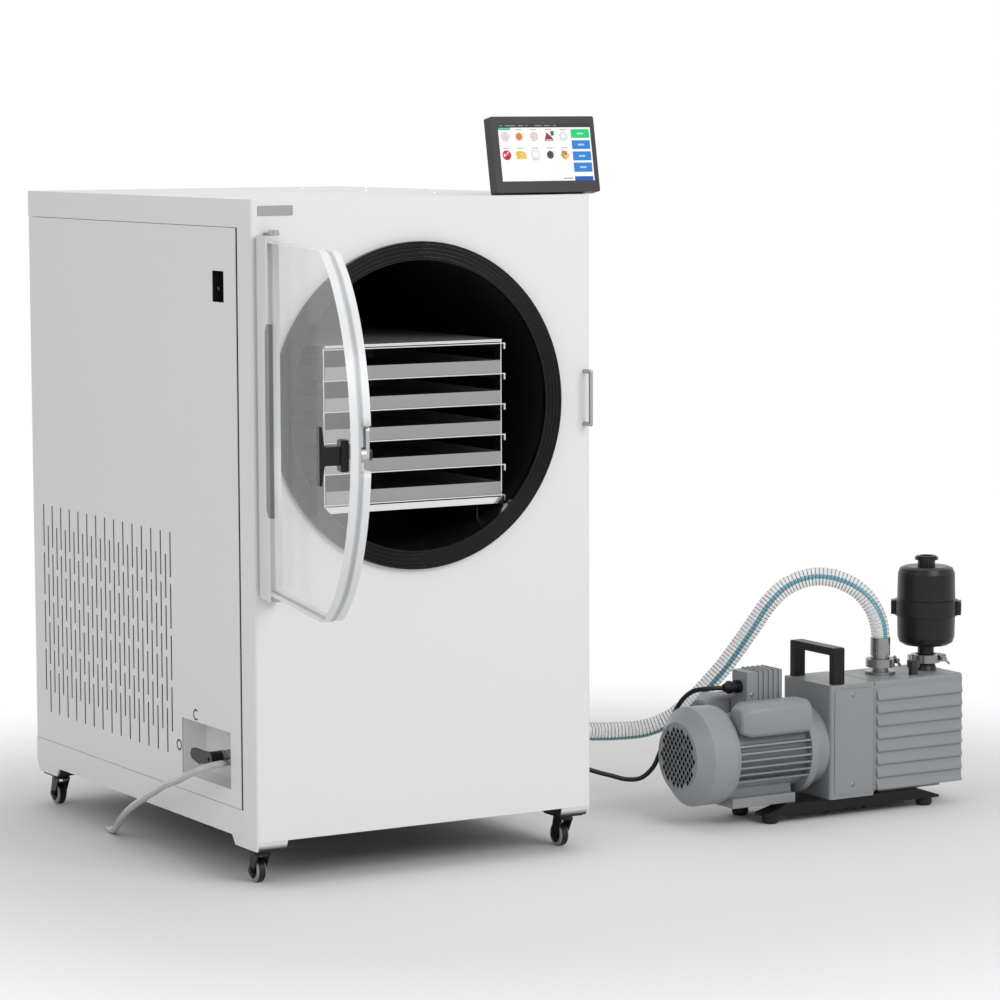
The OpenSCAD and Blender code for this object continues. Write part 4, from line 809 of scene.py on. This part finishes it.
class Picture:
    """Flat coloured shapes laid over each other on the screen, in shares of its width and height."""

    def __init__(self):
        self.points, self.faces, self.colors, self.layer = [], [], [], 0

    def outline(self, places, color):
        first = len(self.points)
        depth = SCREEN_DEPTH - LAYER_STEP * self.layer
        for x, y in places:
            across, up = SCREEN_CORNER[0] + x * SCREEN_WIDE, SCREEN_CORNER[1] + (1 - y) * SCREEN_HIGH
            self.points.append(display_at(across, depth, up))
        self.faces.append(tuple(range(first, len(self.points))))
        self.colors.append(tone(color))

    def bar(self, x0, y0, x1, y1, color):
        self.outline([(x0, y1), (x1, y1), (x1, y0), (x0, y0)], color)

    def disc(self, x, y, r, color, sides=20, squash=1.0, start=0.0, sweep=1.0):
        """Round, or a slice of it; r is a share of the width."""
        steep = SCREEN_WIDE / SCREEN_HIGH * squash
        angles = [2 * math.pi * (start + sweep * k / sides) for k in range(sides + (sweep < 1))]
        places = [(x + r * math.cos(a), y - r * steep * math.sin(a)) for a in angles]
        if sweep < 1:
            places.append((x, y))
        self.outline(places, color)

    def dots(self, x, y, r, count, size, colors):
        """Small dots spread evenly over a round."""
        for k in range(count):
            far, angle = r * math.sqrt((k + 0.5) / count), GOLDEN_TURN * k
            across, down = far * math.cos(angle), far * DOTS_TALL * math.sin(angle)
            self.disc(x + across, y + down, size, colors[k % len(colors)], 6)

    def mesh(self, name):
        mesh = bpy.data.meshes.new(name)
        mesh.from_pydata(self.points, [], self.faces)
        tint = mesh.color_attributes.new("tint", "FLOAT_COLOR", "CORNER")
        for face, color in zip(mesh.polygons, self.colors):
            for loop in face.loop_indices:
                tint.data[loop].color = color
        return mesh


BLUE = (46, 134, 214)
BUTTONS = ((0.10, 0.255, (14, 214, 122)), (0.295, 0.45, BLUE), (0.49, 0.65, BLUE), (0.685, 0.85, BLUE),
           (0.925, 0.999, (20, 96, 190)))
COLUMNS = (0.07, 0.22, 0.38, 0.54, 0.70)
TOP_ROW, LOW_ROW, ROUND = 0.225, 0.545, 0.047
PETALS = 9


def draw_screen():
    """Start screen: bars, buttons and two rows of small pictures of what is dried."""
    picture = Picture()
    one, two, three, four, five = COLUMNS
    bar, disc, outline, dots = picture.bar, picture.disc, picture.outline, picture.dots
    bar(0.001, 0.001, 0.999, 0.999, (255, 255, 255))

    picture.layer = 1
    bar(0.001, 0.001, 0.999, 0.068, (52, 54, 56))
    bar(0.001, 0.068, 0.13, 0.108, (18, 190, 120))
    for y0, y1, color in BUTTONS:
        bar(0.785, y0, 0.985, y1, color)
    for x in COLUMNS:
        for y in (0.105, 0.425):
            bar(x - 0.035, y - 0.008, x + 0.035, y + 0.008, (176, 178, 180))
    bar(0.66, 0.95, 0.765, 0.965, (120, 122, 124))
    disc(one, TOP_ROW, ROUND, (240, 226, 228))
    disc(two, TOP_ROW, ROUND, (250, 226, 204))
    disc(three, TOP_ROW, ROUND, (244, 236, 226))
    disc(five, TOP_ROW, ROUND, (226, 232, 240))
    outline([(0.49, 0.31), (0.50, 0.25), (0.52, 0.15), (0.58, 0.245), (0.59, 0.31)], (150, 60, 78))
    outline([(0.565, 0.21), (0.562, 0.13), (0.60, 0.13), (0.60, 0.21)], (36, 120, 84))
    disc(one, LOW_ROW, ROUND, (206, 44, 56))
    outline([(0.175, 0.62), (0.165, 0.50), (0.205, 0.47), (0.275, 0.50), (0.28, 0.61)], (242, 196, 74))
    outline([(0.345, 0.64), (0.335, 0.50), (0.35, 0.455), (0.41, 0.455), (0.425, 0.50), (0.415, 0.64)],
            (224, 220, 228))
    disc(four, LOW_ROW, ROUND * 0.8, (52, 84, 60))
    disc(five, LOW_ROW + 0.02, ROUND * 0.8, (226, 190, 120), squash=0.8)

    picture.layer = 2
    for y0, y1, color in BUTTONS[:4]:
        light = tuple((part + 2 * 255) // 3 for part in color)
        bar(0.85, (y0 + y1) / 2 - 0.015, 0.92, (y0 + y1) / 2 + 0.015, light)
    for x0, x1 in ((0.02, 0.05), (0.08, 0.19), (0.22, 0.27), (0.30, 0.32), (0.40, 0.47), (0.50, 0.56),
                   (0.60, 0.63)):
        bar(x0, 0.027, x1, 0.042, (150, 152, 154))
    bar(0.015, 0.082, 0.115, 0.095, (120, 226, 180))
    dots(one, TOP_ROW, ROUND * 0.9, 26, 0.0035, ((190, 90, 110), (170, 150, 160), (214, 120, 120)))
    disc(two, TOP_ROW, ROUND * 0.72, (222, 130, 66))
    dots(three, TOP_ROW, ROUND * 0.9, 22, 0.0055, ((196, 160, 130), (120, 90, 70), (222, 190, 150)))
    disc(five, TOP_ROW - 0.01, ROUND * 0.6, (246, 248, 250), squash=0.7)
    outline([(0.49, 0.31), (0.505, 0.275), (0.575, 0.275), (0.59, 0.31)], (222, 178, 182))
    for share, color, start, sweep in ((0.7, (252, 236, 236), 0.42, 0.16), (0.75, (246, 214, 214), 0.12, 0.1),
                                       (0.8, (160, 24, 40), 0.7, 0.2)):
        disc(one, LOW_ROW, ROUND * share, color, 8, 1.0, start, sweep)
    dots(two, LOW_ROW + 0.01, ROUND * 0.8, 12, 0.008, ((250, 214, 96), (230, 172, 50), (252, 226, 150)))
    outline([(0.355, 0.60), (0.347, 0.52), (0.355, 0.475), (0.405, 0.475), (0.413, 0.52), (0.405, 0.60)],
            (250, 250, 252))
    for k in range(PETALS):
        turn = 2 * math.pi * k / PETALS
        tip = (four + ROUND * math.cos(turn), LOW_ROW + ROUND * math.sin(turn) * PETALS_TALL)
        x, y = -math.sin(turn) * 0.008, math.cos(turn) * 0.015
        green = (34, 62, 44) if k % 2 else (72, 110, 74)
        outline([(four + x, LOW_ROW + y), tip, (four - x, LOW_ROW - y)], green)
    dots(five, LOW_ROW, ROUND * 0.9, 22, 0.009,
         ((200, 60, 50), (236, 180, 60), (90, 140, 80), (240, 220, 180), (224, 120, 60)))
    return add_object("screen_picture", picture.mesh("screen_picture"))


def screen_material():
    """Lit screen: its own colours give the light, under a smooth cover."""
    material, tree, skin = base_material("lit_screen", coat=0.05, specular=0.2)
    tint = add(tree, "ShaderNodeAttribute", attribute_type="GEOMETRY", attribute_name="tint")
    cells = lay_grain(tree, skin, (0.5, 0.5, 0.5), 0.96, 0.0004, 0.04, 0.3, 0.04, 0.0)
    feed(tree, cells, {"Color": tint.outputs["Color"]})
    feed(tree, skin, {"Base Color": scaled(tree, cells.outputs["Color"], UNLIT_SHADE),
                      "Emission Color": cells.outputs["Color"], "Emission Strength": SCREEN_GLOW})
    return material


finish_piece(draw_screen(), screen_material(), "cabinet", "display_face")


# ---- Plate and letters ----

# The plate and the letters' places are in millimetres. The bevel and the letters' sizes are in metres.
PLATE_LOW, PLATE_HIGH = (11, 1031), (71, 1046.5)
PLATE_ROUND, PLATE_THICK, PLATE_BEVEL = 2.0, 0.8, 0.0005
LETTER_X = -0.04
LETTER_SIZE, LETTER_THICK, LETTER_FATTER = 0.025, 0.00006, 0.00035


def make_name_plate():
    """Blank plate with rounded corners and a bevelled rim, on the front."""
    left, right = PLATE_LOW[0] + PLATE_ROUND, PLATE_HIGH[0] - PLATE_ROUND
    bottom, top = PLATE_LOW[1] + PLATE_ROUND, PLATE_HIGH[1] - PLATE_ROUND
    shape = bmesh.new()
    places = []
    for x, z, turn in ((right, top, 0), (left, top, 90), (left, bottom, 180), (right, bottom, 270)):
        for k in range(6):
            a = math.radians(turn + 18 * k)
            places.append(at(x + PLATE_ROUND * math.cos(a), 0, z + PLATE_ROUND * math.sin(a)))
    base = shape.faces.new([shape.verts.new(p) for p in places])
    if base.normal.y > 0:
        base.normal_flip()
    raise_face(shape, base, (0, -PLATE_THICK / 1000, 0))
    bmesh.ops.recalc_face_normals(shape, faces=shape.faces)
    face_y = at(0, -PLATE_THICK, 0).y
    front = [e for e in shape.edges if all(abs(v.co.y - face_y) < 1e-6 for v in e.verts)]
    bmesh.ops.bevel(shape, geom=front, offset=PLATE_BEVEL, segments=2, affect="EDGES")
    mesh = bpy.data.meshes.new("name_plate")
    shape.to_mesh(mesh)
    shape.free()
    return add_object("name_plate", mesh)


def plain_mesh(name, source):
    """Mesh object with a name in place of a text, or of an object and its modifiers."""
    mesh = bpy.data.meshes.new_from_object(source.evaluated_get(bpy.context.evaluated_depsgraph_get()))
    mesh.name = name
    bpy.data.objects.remove(source)
    return add_object(name, mesh)


def make_letter(name, letter, y, z):
    """Printed letter on the left side, read from the left."""
    text = bpy.data.curves.new(name, "FONT")
    text.body = letter
    text.size = LETTER_SIZE
    text.align_x = text.align_y = "CENTER"
    text.extrude = LETTER_THICK
    text.offset = LETTER_FATTER
    made = plain_mesh(name, add_object(name, text))
    left_side = Matrix(((0, 0, -1, 0), (-1, 0, 0, 0), (0, 1, 0, 0), (0, 0, 0, 1)))
    made.data.transform(Matrix.Translation(at(LETTER_X, y, z)) @ left_side)
    return made


plate_silver = brushed("blank_plate_silver", (0.30, 0.30, 0.31), 0.4, (30, 900, 900), bumps=0.05)
letter_ink = grained("black_letter_ink", (0.015, 0.015, 0.016), 0.5, bumps=0.1, grain=0.0006, patch=0.01,
                     shade=0.8)
finish_piece(make_name_plate(), plate_silver, "cabinet", "steel")
finish_piece(make_letter("valve_letter_c", "C", 215, 241), letter_ink, "cabinet", "dark_plastic")
finish_piece(make_letter("valve_letter_o", "O", 276, 184), letter_ink, "cabinet", "dark_plastic")


# ---- Hose and cable finishes ----

# Coloured line of the vacuum hose and painted shade lines of the drain hose, in shares of a turn.
LINE_FROM = 0.457
BORE_SHADE_LINE, BORE_SHADE_HALF = 0.3, 0.025

# How solid the vacuum hose's wall is, and how much more its coloured line.
WALL_ALPHA, LINE_ALPHA = 0.42, 0.5


def turn_share(tree):
    """Share of a turn, up to a half, between a point of a tube and the side opposite its seam."""
    along = add(tree, "ShaderNodeUVMap", uv_map="along")
    turn = apart(tree, along.outputs["UV"])["X"]
    return math_node(tree, "ABSOLUTE", math_node(tree, "SUBTRACT", turn, 0.5))


def hose_material():
    """Clear, faintly milky wall with a coloured line along the side where its UV map starts."""
    material, tree, skin = base_material("clear_hose_wall", coat=0.4)
    wall = lay_grain(tree, skin, (0.90, 0.915, 0.92), 0.97, 0.003, 0.04, 0.16, 0.1, 0.1)
    line = math_node(tree, "GREATER_THAN", turn_share(tree), LINE_FROM)
    paint_where(tree, skin, wall, line, (0.06, 0.30, 0.38))
    solid = math_node(tree, "ADD", math_node(tree, "MULTIPLY", line, LINE_ALPHA), WALL_ALPHA)
    feed(tree, skin, {"Alpha": solid})
    return material


def milky_material():
    """Soft clear tube that has turned milky, with a dark line painted on each side as the shade that its bore
    shows through the wall.
    """
    material, tree, skin = base_material("milky_tube_wall", coat=0.3)
    wall = lay_grain(tree, skin, (0.50, 0.505, 0.51), 0.85, 0.004, 0.03, 0.22, 0.1, 0.05)
    # Painted shade: a dark line down each side of the tube.
    paint_where(tree, skin, wall, band(tree, turn_share(tree), BORE_SHADE_LINE, BORE_SHADE_HALF), (0.2, 0.205, 0.21))
    return material


cable_black = black("black_cable_jacket", PLASTIC_DARK, 0.3, 0.05, 0.001, 0.02, 0.25, shade=0.8)
finish_piece(vacuum_hose, hose_material(), "cabinet", "clear_hose", "vacuum_hose")
finish_piece(pump_cable, cable_black, "cabinet", "rubber", "pump_cable")
finish_piece(drain_hose, milky_material(), "cabinet", "milky_hose", "drain_hose")


# ---- Geometry Nodes: what repeats ----

SHAPE = ("Geometry", "Geometry")


def run_tree(name, source, tree, values):
    """Sets the tree's named inputs on the source object and keeps the result as a plain mesh."""
    modifier = source.modifiers.new(tree.name, "NODES")
    modifier.node_group = tree
    for item in tree.interface.items_tree:
        if item.in_out == "INPUT" and item.name in values:
            modifier[item.identifier] = values[item.name]
    return plain_mesh(name, source)


def place_on_points(tree, o, points, piece, way, finish):
    """Puts a copy of a piece on each point, turned one way, as one plain mesh of one material."""
    turn = add(tree, "FunctionNodeAlignRotationToVector", {"Vector": way}, axis="Z")
    placed = add(tree, "GeometryNodeInstanceOnPoints", {
        "Points": points, "Instance": piece, "Rotation": turn.outputs["Rotation"]})
    real = add(tree, "GeometryNodeRealizeInstances", {"Geometry": placed.outputs["Instances"]})
    paint = add(tree, "GeometryNodeSetMaterial", {"Geometry": real.outputs["Geometry"], "Material": finish})
    feed(tree, o, {"Geometry": paint.outputs["Geometry"]})


def course_curve(name, course):
    curve = bpy.data.curves.new(name, "CURVE")
    curve.dimensions = "3D"
    line = curve.splines.new("POLY")
    line.points.add(len(course) - 1)
    for point, place in zip(line.points, course):
        point.co = (*place, 1)
    return add_object(name, curve)


def wire_ring_tree():
    """Thin wire rings along a curve, one at each pitch."""
    tree, i, o = new_group("wire_rings", [
        SHAPE, ("Pitch", "Float", HOSE_PITCH), ("Ring Radius", "Float", 0.0155),
        ("Wire Radius", "Float", 0.0004), ("Wire", "Material")], [SHAPE], "GeometryNodeTree")
    spaced = add(tree, "GeometryNodeResampleCurve", {
        "Curve": i.outputs["Geometry"], "Length": i.outputs["Pitch"]}, mode="LENGTH")
    ring, wire = (add(tree, "GeometryNodeCurvePrimitiveCircle", {
        "Radius": i.outputs[radius], "Resolution": sides}, mode="RADIUS").outputs["Curve"]
        for radius, sides in (("Ring Radius", 28), ("Wire Radius", 5)))
    swept = add(tree, "GeometryNodeCurveToMesh", {"Curve": ring, "Profile Curve": wire})
    ahead = add(tree, "GeometryNodeInputTangent").outputs["Tangent"]
    place_on_points(tree, o, spaced.outputs["Curve"], swept.outputs["Mesh"], ahead, i.outputs["Wire"])
    return tree


wire_steel = grained("hose_wire_steel", (0.07, 0.075, 0.078), 0.45, bumps=0.05, patch=0.02, shade=0.8,
                     specular=0.25)
hose_wire = run_tree("hose_wire", course_curve("hose_line", hose_course[6:-6]), wire_ring_tree(),
                     {"Wire": wire_steel})
finish_piece(hose_wire, None, "cabinet", "clear_hose")


# Length of the recess and radius of the head's top in head radii, and lift of the recess in head heights.
RECESS_LONGER, HEAD_TAPER, RECESS_LIFT = 1.1, 0.62, 0.9


def screw_head_tree():
    """Round head with a cross recess at each point, facing the way that the point's "out" gives."""
    tree, i, o = new_group("screw_heads", [
        SHAPE, ("Head Radius", "Float", 0.0035), ("Head Height", "Float", 0.0018),
        ("Recess Width", "Float", 0.0009), ("Metal", "Material")], [SHAPE], "GeometryNodeTree")
    radius, height, width = (i.outputs[label] for label in ("Head Radius", "Head Height", "Recess Width"))
    head = add(tree, "GeometryNodeMeshCone", {
        "Vertices": 20, "Radius Bottom": radius, "Depth": height,
        "Radius Top": math_node(tree, "MULTIPLY", radius, HEAD_TAPER)})
    cross = add(tree, "GeometryNodeMeshBoolean", operation="UNION")
    for axis in (0, 1):
        length = math_node(tree, "MULTIPLY", radius, RECESS_LONGER)
        size = add(tree, "ShaderNodeCombineXYZ", {axis: length, 1 - axis: width, 2: height})
        slot = add(tree, "GeometryNodeMeshCube", {"Size": size.outputs[0]})
        feed(tree, cross, {"Mesh 2": slot.outputs["Mesh"]})
    lift = add(tree, "ShaderNodeCombineXYZ", {2: math_node(tree, "MULTIPLY", height, RECESS_LIFT)})
    raised = add(tree, "GeometryNodeTransform", {
        "Geometry": cross.outputs["Mesh"], "Translation": lift.outputs[0]})
    cut = add(tree, "GeometryNodeMeshBoolean", {
        "Mesh 1": head.outputs["Mesh"], "Mesh 2": raised.outputs["Geometry"]}, operation="DIFFERENCE")
    out = add(tree, "GeometryNodeInputNamedAttribute", {"Name": "out"}, data_type="FLOAT_VECTOR")
    place_on_points(tree, o, i.outputs["Geometry"], cut.outputs["Mesh"], out.outputs["Attribute"],
                    i.outputs["Metal"])
    return tree


def screw_points(name, places):
    """Points in millimetres with the way each screw faces."""
    mesh = bpy.data.meshes.new(name)
    mesh.from_pydata([at(*place) for place, _ in places], [], [])
    out = mesh.attributes.new("out", "FLOAT_VECTOR", "POINT")
    for item, (_, way) in zip(out.data, places):
        item.vector = way
    return add_object(name, mesh)


FRONT, BACK = (0, -1, 0), (0, 1, 0)
PUMP_SCREWS = [((1123, 4.5, 208), FRONT), ((1123, 4.5, 55), FRONT), ((1123, 147.5, 208), BACK),
               ((1123, 147.5, 55), BACK), ((950, 52, 216), FRONT), ((950, 90, 216), BACK)]
screw_zinc = brushed("screw_zinc", (0.40, 0.40, 0.40), 0.3, (700, 700, 700), shade=0.7)
pump_screws = run_tree("pump_screws", screw_points("pump_screw_points", PUMP_SCREWS), screw_head_tree(),
                       {"Metal": screw_zinc, "Head Radius": 0.0038})
finish_piece(pump_screws, None, "cabinet", "steel")


# ---- Room: floor, world and lamps ----

WORLD_LIGHT = 0.53
FLOOR_HALF = 30
FLOOR_FADE = {"From Min": 0.8, "From Max": 1.7}


def seen_rays(tree):
    """1 for rays from the camera, in reflections and through glass."""
    rays = add(tree, "ShaderNodeLightPath")
    indirect = math_node(tree, "MAXIMUM", rays.outputs["Is Glossy Ray"], rays.outputs["Is Transmission Ray"])
    return math_node(tree, "MAXIMUM", rays.outputs["Is Camera Ray"], indirect)


def blend_into(tree, out, share, first, second):
    """Shows a first shader, and a second one instead by a share."""
    blend = add(tree, "ShaderNodeMixShader", {"Fac": share, 1: first.outputs[0], 2: second.outputs[0]})
    feed(tree, out, {"Surface": blend.outputs["Shader"]})


def floor_material():
    """Pale floor that turns white away from the object, so that it has no visible edge."""
    material = bpy.data.materials.new("studio_floor")
    tree, out = fresh_tree(material, "ShaderNodeOutputMaterial")
    skin = add(tree, "ShaderNodeBsdfPrincipled", {
        "Base Color": (0.82, 0.82, 0.82, 1), "Roughness": 0.7, "Specular IOR Level": 0.2})
    place = add(tree, "ShaderNodeNewGeometry")
    away = vector_node(tree, "LENGTH", place.outputs["Position"])
    fade = add(tree, "ShaderNodeMapRange", {"Value": away, **FLOOR_FADE}, interpolation_type="SMOOTHSTEP")
    share = math_node(tree, "MULTIPLY", fade.outputs["Result"], seen_rays(tree))
    blend_into(tree, out, share, skin, add(tree, "ShaderNodeEmission"))
    return material


def make_floor():
    mesh = bpy.data.meshes.new("studio_floor")
    corners = [(x * FLOOR_HALF, y * FLOOR_HALF, 0) for x, y in ((-1, -1), (1, -1), (1, 1), (-1, 1))]
    mesh.from_pydata(corners, [], [(0, 1, 2, 3)])
    mesh.materials.append(floor_material())
    add_object("studio_floor", mesh)


def make_world():
    """White to the camera, in reflections and through glass; a plain grey light on the rest."""
    world = bpy.data.worlds.new("studio")
    bpy.context.scene.world = world
    tree, out = fresh_tree(world, "ShaderNodeOutputWorld")
    lit = add(tree, "ShaderNodeBackground", {"Color": (1, 1, 1, 1), "Strength": WORLD_LIGHT})
    white = add(tree, "ShaderNodeBackground", {"Color": (1, 1, 1, 1)})
    blend_into(tree, out, seen_rays(tree), lit, white)


def area_lamp(name, place, toward, size, power):
    data = bpy.data.lights.new(name, "AREA")
    data.shape = "RECTANGLE"
    data.size, data.size_y = size
    data.energy = power
    lamp = add_object(name, data)
    lamp.location = Vector(place)
    lamp.rotation_euler = (Vector(toward) - Vector(place)).to_track_quat("-Z", "Y").to_euler()


make_floor()
make_world()
area_lamp("key", (0.6, -3.6, 2.6), (0, 0, 0.5), (2.4, 2.0), 68)
area_lamp("fill", (-3.4, -1.0, 2.2), (0, 0, 0.5), (2.0, 2.0), 16)
area_lamp("top", (0.2, 0.2, 3.4), (0, 0, 0.4), (2.5, 2.5), 14)

bpy.context.scene.view_settings.view_transform = "Standard"
